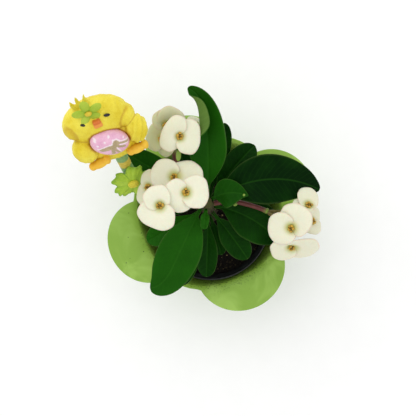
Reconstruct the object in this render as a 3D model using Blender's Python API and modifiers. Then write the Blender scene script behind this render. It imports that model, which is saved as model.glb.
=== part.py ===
# Potted euphorbia: a thorny stem with broad leaves and three heads of white blooms, rooted in a
# black nursery pot that stands in a green cover pot with a petal-shaped rim. A moulded chick on a
# stick and a small moulded flower decorate it.
# Lengths below are millimetres and angles are degrees; meshes are made in metres, +Z up.
# The origin is the middle of the cover pot's flat base. +Y is the side the tallest leaf leans to.
import math
import random

import bmesh
import bpy
from mathutils import Matrix, Vector

MM = 0.001
GAP = 0.3

# Cover pot
COVER_WALL = 1.8
COVER_BASE_RADIUS = 46.0
COVER_FLOOR_RADIUS = 43.0
CREASE_RADIUS = 64.5
CREASE_WAVE = 2.0
CREASE_HEIGHT = 86.0
RIM_LIP = 3.0
PETAL_RISE = 2.6
PETAL_DROOP = 3.4
# direction, distance of the middle, half length, half width of each rim petal
RIM_PETALS = (
    (18.0, 59.0, 37.0, 39.0),
    (112.0, 56.0, 35.0, 37.0),
    (204.0, 62.0, 34.5, 37.5),
    (299.0, 55.0, 39.0, 40.5),
)

# Nursery pot and soil
NURSERY_CENTRE = (0.85, -7.0)
NURSERY_RIM_RADIUS = 52.4
NURSERY_TOP_RADIUS = 50.0
NURSERY_BASE_RADIUS = 36.0
NURSERY_RIM_HEIGHT = 92.0
NURSERY_WALL = 1.0
SOIL_HEIGHT = 82.0

# Stem
STEM_FOOT = (1.0, -5.0, 62.0)
STEM_TOP = (-3.0, 9.0, 158.0)
STEM_FOOT_RADIUS = 6.6
STEM_TOP_RADIUS = 4.5
BRANCH_START = 105.0
BRANCH_TOP = (-22.0, 22.0, 150.0)
BRANCH_RADII = (3.8, 3.0)
THORN_LENGTH = 4.5
THORN_RADIUS = 0.8
THORN_SPACING = 1.7
THORN_TURN = 137.5
THORN_CLEARANCE = 9.0
THORNS_FROM = 88.0
THORNS_TO = 153.0

# Leaves: each grows from the stem, or the side branch, at height "base" on the side "side" (or "az"),
# heads for azimuth "az" and turns by "sweep" and, near its tip, by "hook". "lift" and "droop" are its
# slopes at the stalk and at the tip. "curl" folds the left half over, most at "curl_at".
LEAF_THICKNESS = 0.9
LEAF_USUAL = dict(sweep=0, hook=0, roll=0, twist=0, fold=12, widest=0.64, rise=1.3, blunt=2.3,
                  point=0, wave=0.6, waves=2.5, curl=0, curl_at=0.72, steps=9, cells=4, branch=False)
LEAVES = (
    dict(base=151, az=86, lift=27, droop=-8, length=92, half=15.5, widest=0.45, sweep=14, hook=54,
         roll=10, twist=20, fold=14, curl=100, point=0.35, rise=1.1, blunt=1.9, steps=14, cells=6),
    dict(base=138, az=77, lift=12, droop=2, length=63, half=8.5, sweep=2),
    dict(base=142, az=58, lift=14, droop=4, length=56, half=11, sweep=-14),
    dict(base=151, az=36, lift=20, droop=-28, length=94, half=20, widest=0.5, sweep=-62, point=0.5,
         rise=0.9, blunt=1.9, steps=13, cells=6),
    dict(base=156, az=34, lift=38, droop=0, length=31.5, half=11.5, widest=0.45, sweep=-56,
         point=0.8, rise=0.9, blunt=1.7),
    dict(base=142, az=-8, lift=6, droop=-4, length=60, half=17, widest=0.55, sweep=-40, rise=1.0,
         steps=11, cells=6),
    dict(base=136, az=-50, lift=0, droop=-6, length=48.5, half=10.6, widest=0.58, sweep=-6),
    dict(base=126, az=-74, lift=0, droop=-14, length=35, half=6.5),
    dict(base=132, az=-90, lift=0, droop=-16, length=53, half=8.8, sweep=-3),
    dict(base=150, side=-150, az=-116, lift=8, droop=-20, length=81, half=17.5, widest=0.5, sweep=2,
         hook=-58, point=0.2, rise=0.75, blunt=2.3, steps=13, cells=6),
    dict(base=134, az=-150, lift=0, droop=-8, length=52, half=9.5, widest=0.68),
    dict(base=138, branch=True, az=147, lift=4, droop=0, length=54, half=11.5, widest=0.55, sweep=4),
    dict(base=156, az=-96, lift=60, droop=-30, length=18, half=3.5, widest=0.55, steps=6),
    dict(base=128, az=-108, lift=0, droop=-18, length=64, half=8, widest=0.6, sweep=-2),
    dict(base=126, az=176, lift=4, droop=-10, length=40, half=8, widest=0.62),
    dict(base=131, az=118, lift=6, droop=0, length=50, half=9, widest=0.62),
)

# Blooms: place of the middle, the way it faces (az, el), which side of a bract lies over its twin,
# and each bract's heading in the picture, length and half width
BLOOM_THICKNESS = 0.7
BRACT_CUP = 0.2
BRACT_CUP_REACH = 0.42
BRACT_DROOP = 0.09
BRACT_MIDDLE = 0.42
BRACT_BACK = 0.24
BRACT_NOTCH = 0.3
BRACT_NOTCH_WIDTH = 0.3
BRACT_LEAN = 0.14
BRACT_TIP_CURVE = 0.91
BRACT_BACK_CURVE = 0.75
BRACT_SIDE_CURVE = 0.9
BRACT_TAPER = 0.05
BRACT_POINTS = 16
BRACT_RINGS = 2
HUB_RADIUS = 2.3
HUB_BELOW = 2.6
HUB_ABOVE = 1.3
GLAND_RADIUS = 2.9
GLAND_HEIGHT = 1.5
BLOOMS = {
    "a": (
        ((-37.4, 6.5, 191), (-110, 78), 1, ((105, 15.2, 9.8), (252, 17.8, 14.4))),
        ((-18.5, 16.2, 187), (-30, 76), -1, ((3, 17.4, 12.2), (204, 15.4, 13.0))),
        ((-27.5, 27.9, 176), (90, 76), -1, ((163, 18.0, 11.2), (4, 22.0, 12.0))),
        ((-47.3, 20.4, 170.5), (180, 60), 1, ((62, 14.0, 7.6), (254, 14.8, 9.5))),
    ),
    "b": (
        ((-23.2, 58.5, 181.5), (-60, 74), -1, ((-4, 15.8, 13.0), (156, 13.6, 14.4))),
        ((-37.0, 57.5, 170), (205, 52), 1, ((172, 14.4, 10.6), (-52, 14.0, 9.5))),
        ((-33.8, 67.6, 174.8), (-90, 66), 1, ((116, 12.6, 7.6), (50, 16.0, 11.0))),
        ((-16.8, 69.6, 165.2), (80, 34), 1, ((0, 9.6, 10.4), (180, 9.0, 9.0))),
    ),
    "c": (
        ((62.7, -10.8, 166), (-150, 70), -1, ((187, 18.0, 13.0), (60, 19.8, 13.0))),
        ((76.6, 6.3, 161), (80, 65), 1, ((90, 15.2, 8.4), (200, 12.5, 8.0))),
        ((80.6, -6.0, 151), (12, 50), 1, ((68, 13.2, 8.6), (258, 10.5, 9.0))),
        ((64.5, -26.3, 153), (-90, 42), 1, ((205, 17.0, 11.0), (12, 21.5, 14.0))),
    ),
}
# Flower stalks: where each leaves the stem (height and side) or the top of the side branch, and its
# route from there to the fork
STALK_RADII = (2.1, 1.8)
PEDICEL_RADIUS = 0.9
PEDICEL_FOOT = 1.2
PEDICEL_TOP = 1.1
PEDICEL_GAP = 0.8
PEDICEL_STRAIGHT = 0.22
PEDICEL_BEND = 0.6
STALKS = {
    "a": dict(height=150, side=140, route=((-15.5, 13, 156.5), (-25, 8.5, 163))),
    "b": dict(route=((-26, 33, 157), (-28.5, 50, 162))),
    "c": dict(height=146, side=10, route=((14, 10, 149), (23, 9, 150.5), (36, 5.5, 151.5), (45, 2, 152))),
}

# Decorative pick
STICK_RADIUS = 1.6
STICK_FOOT = (-41.4, -20.7, 82.0)
STICK_DEPTH = 15.0
FIGURE_CENTRE = (-74.7, 60.5, 197.0)
FIGURE_RIGHT = (0.924, 0.378, 0.0)
FIGURE_FACING = (0.301, -0.735, 0.606)
# Balls of the figure: half sizes, then place along, up and out (and turn)
HEAD = ((24.5, 17.0, 13.5), (-3.5, 16.0, 0.0))
TORSO = ((25.0, 20.5, 12.5), (0.0, -5.5, 0.0))
EGG = ((14.5, 10.5, 8.0), (-1.0, 2.2, 11.6, -34.0))
THIGH = ((9.5, 10.5, 9.5), (20.0, -2.0, 7.0))
FOOT = ((8.5, 3.6, 4.2), (15.5, -15.5, 11.0, 20.0))
BEAK_PLACE = (-2.4, 22.4, 11.0)
BEAK_RADII = (3.2, 1.6)
BEAK_LENGTH = 4.5
TUFTS = ((-9.0, 31.0, 1.0, 24.0), (-6.0, 31.0, 1.0, 10.0), (-4.0, 30.0, 1.0, -4.0))
TUFT_RADII = (3.0, 0.4)
TUFT_LENGTH = 9.5
HEAD_FLOWER_PLACE = (-5.0, 31.0, 9.6)
HEAD_FLOWER_RADIUS = 11.0
SLEEVE_RADIUS = 4.8
SLEEVE_TOP = -24.0
SLEEVE_BOTTOM = -50.0
SOCKET_DEPTH = 12.0
ORNAMENT_ASIDE = -0.6
ORNAMENT_PLACE = -53.4
ORNAMENT_OUT = 8.4
ORNAMENT_RADIUS = 16.5
ORNAMENT_THICKNESS = 1.4
ORNAMENT_TURN = -6.0
ORNAMENT_BEND = -2.0
BOSS_RADIUS = 2.5

COLOURS = {
    "cover_green": (0x87AD4B, 0.35),
    "nursery_black": (0x1C2214, 0.55),
    "soil_dark": (0x1E1812, 0.95),
    "stem_bark": (0x6B6250, 0.8),
    "leaf_green": (0x124A0A, 0.4),
    "stalk_red": (0x563029, 0.6),
    "bract_white": (0xE9EAD0, 0.6),
    "gland_gold": (0xB99F35, 0.45),
    "stick_wood": (0xC9B588, 0.7),
    "chick_yellow": (0xE0D242, 0.5),
    "ornament_green": (0x8CB82E, 0.55),
    "ornament_yellow": (0xC7C137, 0.6),
}


def linear(channel):
    value = channel / 255.0
    return value / 12.92 if value <= 0.04045 else ((value + 0.055) / 1.055) ** 2.4


def make_material(name):
    code, roughness = COLOURS[name]
    colour = [linear(code >> shift & 255) for shift in (16, 8, 0)] + [1.0]
    material = bpy.data.materials.new(name)
    material.use_nodes = True
    shader = material.node_tree.nodes["Principled BSDF"]
    shader.inputs["Base Color"].default_value = colour
    shader.inputs["Roughness"].default_value = roughness
    shader.inputs["Metallic"].default_value = 0.0
    return material


def clear_scene():
    for item in list(bpy.data.objects):
        bpy.data.objects.remove(item, do_unlink=True)


def new_collection(name):
    collection = bpy.data.collections.new(name)
    bpy.context.scene.collection.children.link(collection)
    return collection


def link(name, mesh, collection):
    item = bpy.data.objects.new(name, mesh)
    collection.objects.link(item)
    return item


def mesh_object(name, shape, collection):
    """Object from a bmesh whose points are in millimetres."""
    bmesh.ops.transform(shape, matrix=Matrix.Scale(MM, 4), verts=shape.verts)
    mesh = bpy.data.meshes.new(name)
    shape.to_mesh(mesh)
    shape.free()
    return link(name, mesh, collection)


def dress(item, material, sharp=40.0):
    item.data.materials.clear()
    item.data.materials.append(bpy.data.materials.get(material) or make_material(material))
    item.data.shade_smooth()
    item.data.set_sharp_from_angle(angle=math.radians(sharp))
    return item


def solidify(item, thickness, offset=0.0):
    modifier = item.modifiers.new("thickness", "SOLIDIFY")
    modifier.thickness = thickness * MM
    modifier.offset = offset
    return item


def applied(item):
    """Bake an object's modifiers into its mesh."""
    graph = bpy.context.evaluated_depsgraph_get()
    mesh = bpy.data.meshes.new_from_object(item.evaluated_get(graph))
    item.modifiers.clear()
    item.data = mesh
    return item


def joined(item, others):
    """Boolean union of an object with others, which are removed."""
    group = new_collection("joining")
    for other in others:
        for holder in list(other.users_collection):
            holder.objects.unlink(other)
        group.objects.link(other)
    modifier = item.modifiers.new("union", "BOOLEAN")
    modifier.operation = "UNION"
    modifier.operand_type = "COLLECTION"
    modifier.collection = group
    modifier.solver = "EXACT"
    applied(item)
    for other in others:
        bpy.data.objects.remove(other, do_unlink=True)
    bpy.data.collections.remove(group)
    return item


def cut(item, cutter):
    cutter.hide_render = True
    cutter.display_type = "WIRE"
    modifier = item.modifiers.new("hole", "BOOLEAN")
    modifier.operation = "DIFFERENCE"
    modifier.object = cutter
    modifier.solver = "EXACT"
    return item


def tube(name, points, radii, collection, sides=2):
    """Tapered tube along a route, as a closed mesh."""
    curve = bpy.data.curves.new(name, "CURVE")
    curve.dimensions = "3D"
    curve.bevel_depth = MM
    curve.bevel_resolution = sides
    curve.use_fill_caps = True
    spline = curve.splines.new("POLY")
    spline.points.add(len(points) - 1)
    for place, point, radius in zip(spline.points, points, radii):
        place.co = (point[0] * MM, point[1] * MM, point[2] * MM, 1.0)
        place.radius = radius
    item = link(name + "_route", curve, collection)
    graph = bpy.context.evaluated_depsgraph_get()
    mesh = bpy.data.meshes.new_from_object(item.evaluated_get(graph))
    mesh.name = name
    shape = bmesh.new()
    shape.from_mesh(mesh)
    bmesh.ops.remove_doubles(shape, verts=shape.verts, dist=0.00001)
    shape.to_mesh(mesh)
    shape.free()
    solid = link(name, mesh, collection)
    solid.matrix_world = item.matrix_world.copy()
    bpy.data.objects.remove(item, do_unlink=True)
    return solid


def turned(name, profile, steps, centre, collection):
    """Solid of revolution from a profile of (radius, height) that runs down its outer side."""
    shape = bmesh.new()
    points = [shape.verts.new((radius * MM, 0.0, height * MM)) for radius, height in profile]
    for first, second in zip(points, points[1:] + points[:1]):
        if first.co.x > 0.0 or second.co.x > 0.0:
            shape.edges.new((first, second))
    mesh = bpy.data.meshes.new(name)
    shape.to_mesh(mesh)
    shape.free()
    item = link(name, mesh, collection)
    item.location = (centre[0] * MM, centre[1] * MM, 0.0)
    screw = item.modifiers.new("turn", "SCREW")
    screw.steps = steps
    screw.render_steps = steps
    screw.use_merge_vertices = True
    screw.merge_threshold = 0.00001
    screw.use_smooth_shade = True
    return item


def direction(az, el):
    return Vector((math.cos(az) * math.cos(el), math.sin(az) * math.cos(el), math.sin(el)))


def basis(x_axis, y_axis, z_axis, origin):
    """Matrix that places a shape made round the origin."""
    turn = Matrix((x_axis, y_axis, z_axis)).transposed().to_4x4()
    return Matrix.Translation(Vector(origin)) @ turn


def upright_basis(axis, origin):
    """Matrix whose Z runs along an axis."""
    return Matrix.Translation(Vector(origin)) @ Vector(axis).to_track_quat("Z", "Y").to_matrix().to_4x4()


def cone(name, radii, depth, segments, place, collection):
    """Cone or cylinder that stands on its place and runs along its Z."""
    shape = bmesh.new()
    lift = Matrix.Translation((0.0, 0.0, depth / 2.0))
    bmesh.ops.create_cone(shape, cap_ends=True, segments=segments, radius1=radii[0], radius2=radii[1],
                          depth=depth, matrix=place @ lift)
    return mesh_object(name, shape, collection)


def ball(name, size, place, collection, segments=12, rings=8):
    """Ellipsoid with three half sizes."""
    shape = bmesh.new()
    stretch = Matrix.Diagonal((size[0], size[1], size[2], 1.0))
    bmesh.ops.create_uvsphere(shape, u_segments=segments, v_segments=rings, radius=1.0,
                              matrix=place @ stretch)
    return mesh_object(name, shape, collection)


# Cover pot

def crease_radius(angle):
    return CREASE_RADIUS - CREASE_WAVE * math.cos(4.0 * (angle - math.radians(24.0)))


def rim_points():
    """Rim outline as (angle at the crease, outer point): four petals with notches between them."""
    steps = 8
    spokes = []
    for number, (heading, distance, length, width) in enumerate(RIM_PETALS):
        turn = math.radians(heading)
        reach = math.pi
        while True:
            along = distance + length * math.cos(reach)
            across = width * math.sin(reach)
            edge = crease_radius(turn + math.atan2(across, along)) + RIM_LIP
            if math.hypot(along, across) > edge:
                break
            reach -= 0.005
        half = math.atan2(across, along)
        for step in range(-steps, steps + 1):
            share = step / steps
            along = distance + length * math.cos(reach * share)
            across = width * math.sin(reach * share)
            outer = (along * math.cos(turn) - across * math.sin(turn),
                     along * math.sin(turn) + across * math.cos(turn))
            spokes.append((turn + half * share, outer))
        following = RIM_PETALS[(number + 1) % len(RIM_PETALS)]
        start = turn + half
        stop = math.radians(following[0]) + (2.0 * math.pi if number == len(RIM_PETALS) - 1 else 0.0)
        stop -= half
        for share in (0.33, 0.67):
            angle = start + (stop - start) * share
            radius = crease_radius(angle) + RIM_LIP
            spokes.append((angle, (radius * math.cos(angle), radius * math.sin(angle))))
    return spokes


def cover_rings(spokes):
    """Rings of points of the cup's inner face and the petals' upper face, from the floor outwards."""
    rings = [[(COVER_FLOOR_RADIUS * math.cos(angle), COVER_FLOOR_RADIUS * math.sin(angle), COVER_WALL)
              for angle, _ in spokes]]
    for share in (0.0, 0.36, 0.72, 1.0):
        flare = 0.25 * share + 0.75 * share * share
        height = COVER_WALL + (CREASE_HEIGHT - COVER_WALL) * share
        ring = []
        for angle, _ in spokes:
            radius = COVER_BASE_RADIUS + (crease_radius(angle) - COVER_BASE_RADIUS) * flare
            ring.append((radius * math.cos(angle), radius * math.sin(angle), height))
        rings.append(ring)
    crease = rings[-1]
    for share in (0.12, 0.4, 0.72, 1.0):
        ring = []
        for (_, outer), inner in zip(spokes, crease):
            reach = math.hypot(outer[0] - inner[0], outer[1] - inner[1])
            run = reach * share
            height = CREASE_HEIGHT + PETAL_RISE * (1.0 - math.exp(-run / 4.0))
            height -= PETAL_DROOP * (run / 32.0) ** 2
            ring.append((inner[0] + (outer[0] - inner[0]) * share,
                         inner[1] + (outer[1] - inner[1]) * share, height))
        rings.append(ring)
    return rings


def make_cover_pot(collection):
    """Loft from a round floor to the petal rim, given its wall by Solidify."""
    shape = bmesh.new()
    middle = shape.verts.new((0.0, 0.0, COVER_WALL))
    rows = [[shape.verts.new(point) for point in ring] for ring in cover_rings(rim_points())]
    count = len(rows[0])
    for index in range(count):
        after = (index + 1) % count
        shape.faces.new((middle, rows[0][index], rows[0][after]))
        for inner, outer in zip(rows, rows[1:]):
            shape.faces.new((inner[index], outer[index], outer[after], inner[after]))
    bmesh.ops.triangulate(shape, faces=shape.faces)
    pot = mesh_object("cover_pot", shape, collection)
    return dress(solidify(pot, COVER_WALL, -1.0), "cover_green", 50.0)


# Nursery pot and soil

def make_nursery_pot(collection):
    floor = COVER_WALL + GAP
    rim = NURSERY_RIM_HEIGHT
    inner = NURSERY_TOP_RADIUS - NURSERY_WALL
    profile = (
        (NURSERY_RIM_RADIUS - 1.0, rim),
        (NURSERY_RIM_RADIUS, rim - 0.8),
        (NURSERY_RIM_RADIUS, rim - 7.0),
        (NURSERY_TOP_RADIUS, rim - 7.8),
        (NURSERY_BASE_RADIUS, floor),
        (0.0, floor),
    )
    inside = (
        (0.0, floor + NURSERY_WALL),
        (NURSERY_BASE_RADIUS - NURSERY_WALL, floor + NURSERY_WALL),
        (inner, rim - 7.8),
        (NURSERY_RIM_RADIUS - 1.6, rim - 5.0),
        (NURSERY_RIM_RADIUS - 1.6, rim - 0.6),
    )
    return dress(turned("nursery_pot", profile + inside, 36, NURSERY_CENTRE, collection),
                 "nursery_black")


def make_soil(collection, cutters):
    """Soil that fills the nursery pot, lumpy on top, with holes for the stem and the stick."""
    floor = COVER_WALL + GAP + NURSERY_WALL + GAP
    slope = (NURSERY_TOP_RADIUS - NURSERY_BASE_RADIUS) / (NURSERY_RIM_HEIGHT - 7.8 - COVER_WALL - GAP)
    foot = NURSERY_BASE_RADIUS - NURSERY_WALL - GAP - 0.2
    top = foot + slope * (SOIL_HEIGHT - floor)
    profile = ((0.0, SOIL_HEIGHT), (top * 0.3, SOIL_HEIGHT), (top * 0.55, SOIL_HEIGHT),
               (top * 0.8, SOIL_HEIGHT), (top, SOIL_HEIGHT), (foot, floor), (0.0, floor))
    soil = applied(turned("potting_soil", profile, 30, NURSERY_CENTRE, collection))
    rng = random.Random(7)
    for point in soil.data.vertices:
        reach = math.hypot(point.co.x, point.co.y) / MM
        if point.co.z > (SOIL_HEIGHT - 1.0) * MM and reach < top - 1.0:
            point.co.z += rng.uniform(-1.6, 1.4) * MM
    axis = Vector(STEM_TOP) - Vector(STEM_FOOT)
    place = upright_basis(axis, Vector(STEM_FOOT) - axis.normalized() * 1.0)
    stem_hole = cone("stem_hole", (STEM_FOOT_RADIUS + 0.8, STEM_FOOT_RADIUS + 0.8), 40.0, 16, place,
                     cutters)
    stick = figure_up()
    place = upright_basis(stick, Vector(STICK_FOOT) - stick * (STICK_DEPTH + 1.0))
    stick_hole = cone("stick_hole", (STICK_RADIUS + 0.5, STICK_RADIUS + 0.5), 40.0, 12, place, cutters)
    cut(soil, stem_hole)
    cut(soil, stick_hole)
    return dress(soil, "soil_dark", 60.0)


# Stem and leaves

def stem_point(height):
    share = (height - STEM_FOOT[2]) / (STEM_TOP[2] - STEM_FOOT[2])
    return Vector(STEM_FOOT).lerp(Vector(STEM_TOP), share)


def stem_radius(height):
    share = (height - STEM_FOOT[2]) / (STEM_TOP[2] - STEM_FOOT[2])
    return STEM_FOOT_RADIUS + (STEM_TOP_RADIUS - STEM_FOOT_RADIUS) * share


def branch_bend():
    return stem_point(BRANCH_START).lerp(Vector(BRANCH_TOP), 0.45) + Vector((-3.0, 3.0, -4.0))


def leaf_start(leaf):
    """Spot on the bark, with a hair's breadth of gap, where a leaf's stalk begins."""
    height = leaf["base"]
    out = direction(math.radians(leaf.get("side", leaf["az"])), 0.0)
    if leaf.get("branch"):
        bend = branch_bend()
        share = (height - bend.z) / (BRANCH_TOP[2] - bend.z)
        return bend.lerp(Vector(BRANCH_TOP), share) + out * (BRANCH_RADII[0] + 0.3)
    return stem_point(height) + out * (stem_radius(height) + 0.7)


def make_stem(collection):
    """Woody stem with one side branch; thorns fused on where no leaf grows."""
    heights = [STEM_FOOT[2] + step * (STEM_TOP[2] - STEM_FOOT[2]) / 4.0 for step in range(5)]
    stem = tube("stem", [stem_point(height) for height in heights],
                [stem_radius(height) for height in heights], collection, 4)
    start = stem_point(BRANCH_START)
    top = Vector(BRANCH_TOP)
    bend = branch_bend()
    branch = tube("branch", [start, bend, top], [BRANCH_RADII[0], 3.4, BRANCH_RADII[1]], collection, 3)
    pieces = [branch]
    starts = [leaf_start(leaf) for leaf in LEAVES]
    branch_way = (bend - start).normalized()
    for number in range(int((THORNS_TO - THORNS_FROM) / THORN_SPACING) + 1):
        height = THORNS_FROM + THORN_SPACING * number
        angle = math.radians(THORN_TURN * number)
        out = direction(angle, math.radians(12.0))
        root = stem_point(height) + direction(angle, 0.0) * (stem_radius(height) - 0.8)
        tip = root + out * THORN_LENGTH
        clear = min((tip - start_point).length for start_point in starts) > THORN_CLEARANCE
        beside = ((tip - start).dot(branch_way) > 0.0
                  and (tip - start).cross(branch_way).length < THORN_CLEARANCE)
        if clear and not beside and height < THORNS_TO:
            pieces.append(cone("thorn", (THORN_RADIUS, 0.15), THORN_LENGTH, 5,
                               upright_basis(out, root), collection))
    return dress(joined(stem, pieces), "stem_bark")


def leaf_frames(leaf):
    """Points along the midrib, each with the directions across the blade and out of its face."""
    steps = leaf["steps"]
    point = leaf_start(leaf)
    points = [point]
    ways = []
    for step in range(steps):
        share = (step + 0.5) / steps
        az = leaf["az"] + leaf["sweep"] * share + leaf["hook"] * max(0.0, (share - 0.6) / 0.4) ** 2
        el = leaf["lift"] + (leaf["droop"] - leaf["lift"]) * share
        way = direction(math.radians(az), math.radians(el))
        ways.append(way)
        point = point + way * (leaf["length"] / steps)
        points.append(point)
    ways.append(ways[-1])
    frames = []
    for step, (point, way) in enumerate(zip(points, ways)):
        side = way.cross(Vector((0.0, 0.0, 1.0))).normalized()
        face = side.cross(way)
        turn = math.radians(leaf["roll"] + leaf["twist"] * (step / steps - 0.5))
        across = side * math.cos(turn) + face * math.sin(turn)
        frames.append((point, across, across.cross(way)))
    return frames


def leaf_width(leaf, share):
    """Half width as a share of the widest: a narrow stalk, a long swelling and a blunt tip."""
    stalk = 0.09
    if share < leaf["widest"]:
        part = max(0.0, (share - stalk) / (leaf["widest"] - stalk))
        width = math.sin(part * math.pi / 2.0) ** leaf["rise"]
    else:
        part = (share - leaf["widest"]) / (1.0 - leaf["widest"])
        width = math.sqrt(max(0.0, 1.0 - part ** leaf["blunt"])) * (1.0 - leaf["point"] * part ** 2)
    return max(leaf["half"] * width, 1.3 if share < 0.5 else 0.9)


def leaf_place(leaf, frames, share, side):
    """Point of the blade at a share of its length and a side from -1 to 1."""
    point, across, face = frames[round(share * leaf["steps"])]
    half = leaf_width(leaf, share)
    fold = leaf["fold"]
    if side < 0.0:
        fold += leaf["curl"] * math.exp(-((share - leaf["curl_at"]) / 0.22) ** 4)
    fold = math.radians(fold)
    reach = abs(side)
    ripple = leaf["wave"] * math.sin(2.0 * math.pi * leaf["waves"] * share + (1.3 if side > 0.0 else 0.0))
    ripple *= side * side * min(1.0, 1.3 * half / leaf["half"])
    out = side * half * math.cos(fold * reach)
    rise = reach * half * math.sin(fold * reach ** 0.8)
    return point + across * out + face * (rise + ripple)


def make_leaf(number, given, collection):
    """Blade: a grid laid along the midrib, folded, waved, split in triangles and thickened."""
    leaf = {**LEAF_USUAL, **given}
    frames = leaf_frames(leaf)
    shape = bmesh.new()
    bmesh.ops.create_grid(shape, x_segments=leaf["steps"], y_segments=leaf["cells"], size=1.0)
    for vertex in shape.verts:
        vertex.co = leaf_place(leaf, frames, (vertex.co.x + 1.0) / 2.0, -vertex.co.y)
    bmesh.ops.triangulate(shape, faces=shape.faces)
    blade = mesh_object(f"leaf_{number:02d}", shape, collection)
    return dress(solidify(blade, LEAF_THICKNESS), "leaf_green", 80.0)


# Blooms

def bloom_axes(bloom, toward):
    """The way out along a bract that points toward a heading, across it, and the way the bloom faces."""
    normal = direction(math.radians(bloom[1][0]), math.radians(bloom[1][1]))
    out = direction(math.radians(toward), 0.0)
    out = (out - normal * out.dot(normal)).normalized()
    return out, normal.cross(out), normal


def bract_place(bloom, which, x, y):
    """Point of a bract for a point of the unit disc: drawn out, notched, cupped, and tilted as a blade."""
    toward, length, width = bloom[3][which]
    out, across, normal = bloom_axes(bloom, toward)
    reach = math.hypot(x, y)
    if reach == 0.0:
        front = side = 0.0
    else:
        front, side = x / reach, y / reach
    if front > 0.0:
        along = BRACT_MIDDLE + reach * (1.0 - BRACT_MIDDLE) * front ** BRACT_TIP_CURVE
    else:
        along = BRACT_MIDDLE - reach * (BRACT_MIDDLE + BRACT_BACK) * (-front) ** BRACT_BACK_CURVE
    aside = reach * math.copysign(abs(side) ** BRACT_SIDE_CURVE, side) * (1.0 + BRACT_TAPER * front)
    notch = math.exp(-(aside / BRACT_NOTCH_WIDTH) ** 2) * reach * reach * max(0.0, -front)
    along = length * (along + BRACT_NOTCH * notch)
    aside *= width
    away = math.hypot(along, aside) / length
    rise = BRACT_CUP * (1.0 - math.exp(-(away / BRACT_CUP_REACH) ** 2)) - BRACT_DROOP * away ** 3
    rise = length * rise + BRACT_LEAN * aside * bloom[2]
    return Vector(bloom[0]) + out * along + across * aside + normal * rise


def make_bract(name, bloom, which, collection):
    shape = bmesh.new()
    middle = shape.verts.new((0.0, 0.0, 0.0))
    rows = []
    for ring in range(1, BRACT_RINGS + 1):
        rows.append([])
        for index in range(BRACT_POINTS):
            angle = 2.0 * math.pi * index / BRACT_POINTS
            rows[-1].append(shape.verts.new((ring / BRACT_RINGS * math.cos(angle),
                                             ring / BRACT_RINGS * math.sin(angle), 0.0)))
    for index in range(BRACT_POINTS):
        after = (index + 1) % BRACT_POINTS
        shape.faces.new((middle, rows[0][index], rows[0][after]))
        for inner, outer in zip(rows, rows[1:]):
            shape.faces.new((inner[index], outer[index], outer[after], inner[after]))
    for vertex in shape.verts:
        vertex.co = bract_place(bloom, which, vertex.co.x, vertex.co.y)
    bmesh.ops.triangulate(shape, faces=shape.faces)
    return applied(solidify(mesh_object(name, shape, collection), BLOOM_THICKNESS))


def make_bloom(name, bloom, collection):
    """Two bracts joined by the small cup that holds them."""
    out, across, normal = bloom_axes(bloom, bloom[3][0][0])
    hub_place = basis(out, across, normal, Vector(bloom[0]) - normal * HUB_BELOW)
    hub = cone(name, (HUB_RADIUS * 0.6, HUB_RADIUS), HUB_BELOW + HUB_ABOVE, 10, hub_place, collection)
    bracts = [make_bract("bract", bloom, which, collection) for which in (0, 1)]
    return dress(joined(hub, bracts), "bract_white", 60.0)


def make_centre(name, bloom, collection):
    """Ring of five glands round a small button."""
    out, across, normal = bloom_axes(bloom, bloom[3][0][0])
    place = basis(out, across, normal, Vector(bloom[0]) + normal * (HUB_ABOVE + GAP))
    shape = bmesh.new()
    points = 10
    rows = []
    for radius, height in ((0.8, 0.0), (1.0, 0.55), (0.6, 1.0)):
        row = []
        for index in range(points):
            angle = 2.0 * math.pi * index / points
            lobe = 1.0 + 0.16 * math.cos(5.0 * angle) * min(1.0, radius * 1.4)
            reach = GLAND_RADIUS * radius * lobe
            row.append(shape.verts.new((reach * math.cos(angle), reach * math.sin(angle),
                                        height * GLAND_HEIGHT)))
        rows.append(row)
    shape.faces.new(rows[0][::-1])
    shape.faces.new(rows[-1])
    for lower, upper in zip(rows, rows[1:]):
        for index in range(points):
            after = (index + 1) % points
            shape.faces.new((lower[index], lower[after], upper[after], upper[index]))
    bmesh.ops.transform(shape, matrix=place, verts=shape.verts)
    return dress(mesh_object(name, shape, collection), "gland_gold")


def make_stalk(key, collection):
    """Stalk of one flower head, with a pedicel to just below each bloom's cup."""
    given = STALKS[key]
    if "side" in given:
        way = direction(math.radians(given["side"]), math.radians(8.0))
        start = stem_point(given["height"]) + way * (stem_radius(given["height"]) + 0.7)
    else:
        way = (Vector(BRANCH_TOP) - branch_bend()).normalized()
        start = Vector(BRANCH_TOP) + way * GAP
    route = [start, start + way * 3.0] + [Vector(point) for point in given["route"]]
    radii = [STALK_RADII[0] + (STALK_RADII[1] - STALK_RADII[0]) * step / (len(route) - 1)
             for step in range(len(route))]
    stalk = tube("flower_stalk_" + key, route, radii, collection, 2)
    fork = route[-1]
    pedicels = []
    for bloom in BLOOMS[key]:
        normal = direction(math.radians(bloom[1][0]), math.radians(bloom[1][1]))
        top = Vector(bloom[0]) - normal * (HUB_BELOW + PEDICEL_GAP)
        below = top - normal * (PEDICEL_STRAIGHT * (top - fork).length)
        bend = fork.lerp(below, PEDICEL_BEND)
        pedicels.append(tube("pedicel", [fork, bend, below.lerp(bend, 0.3), top],
                             [PEDICEL_FOOT, PEDICEL_RADIUS, PEDICEL_RADIUS, PEDICEL_TOP], collection, 1))
    return dress(joined(stalk, pedicels), "stalk_red")


# Decorative pick

def figure_up():
    return Vector(FIGURE_FACING).normalized().cross(Vector(FIGURE_RIGHT).normalized())


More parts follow.
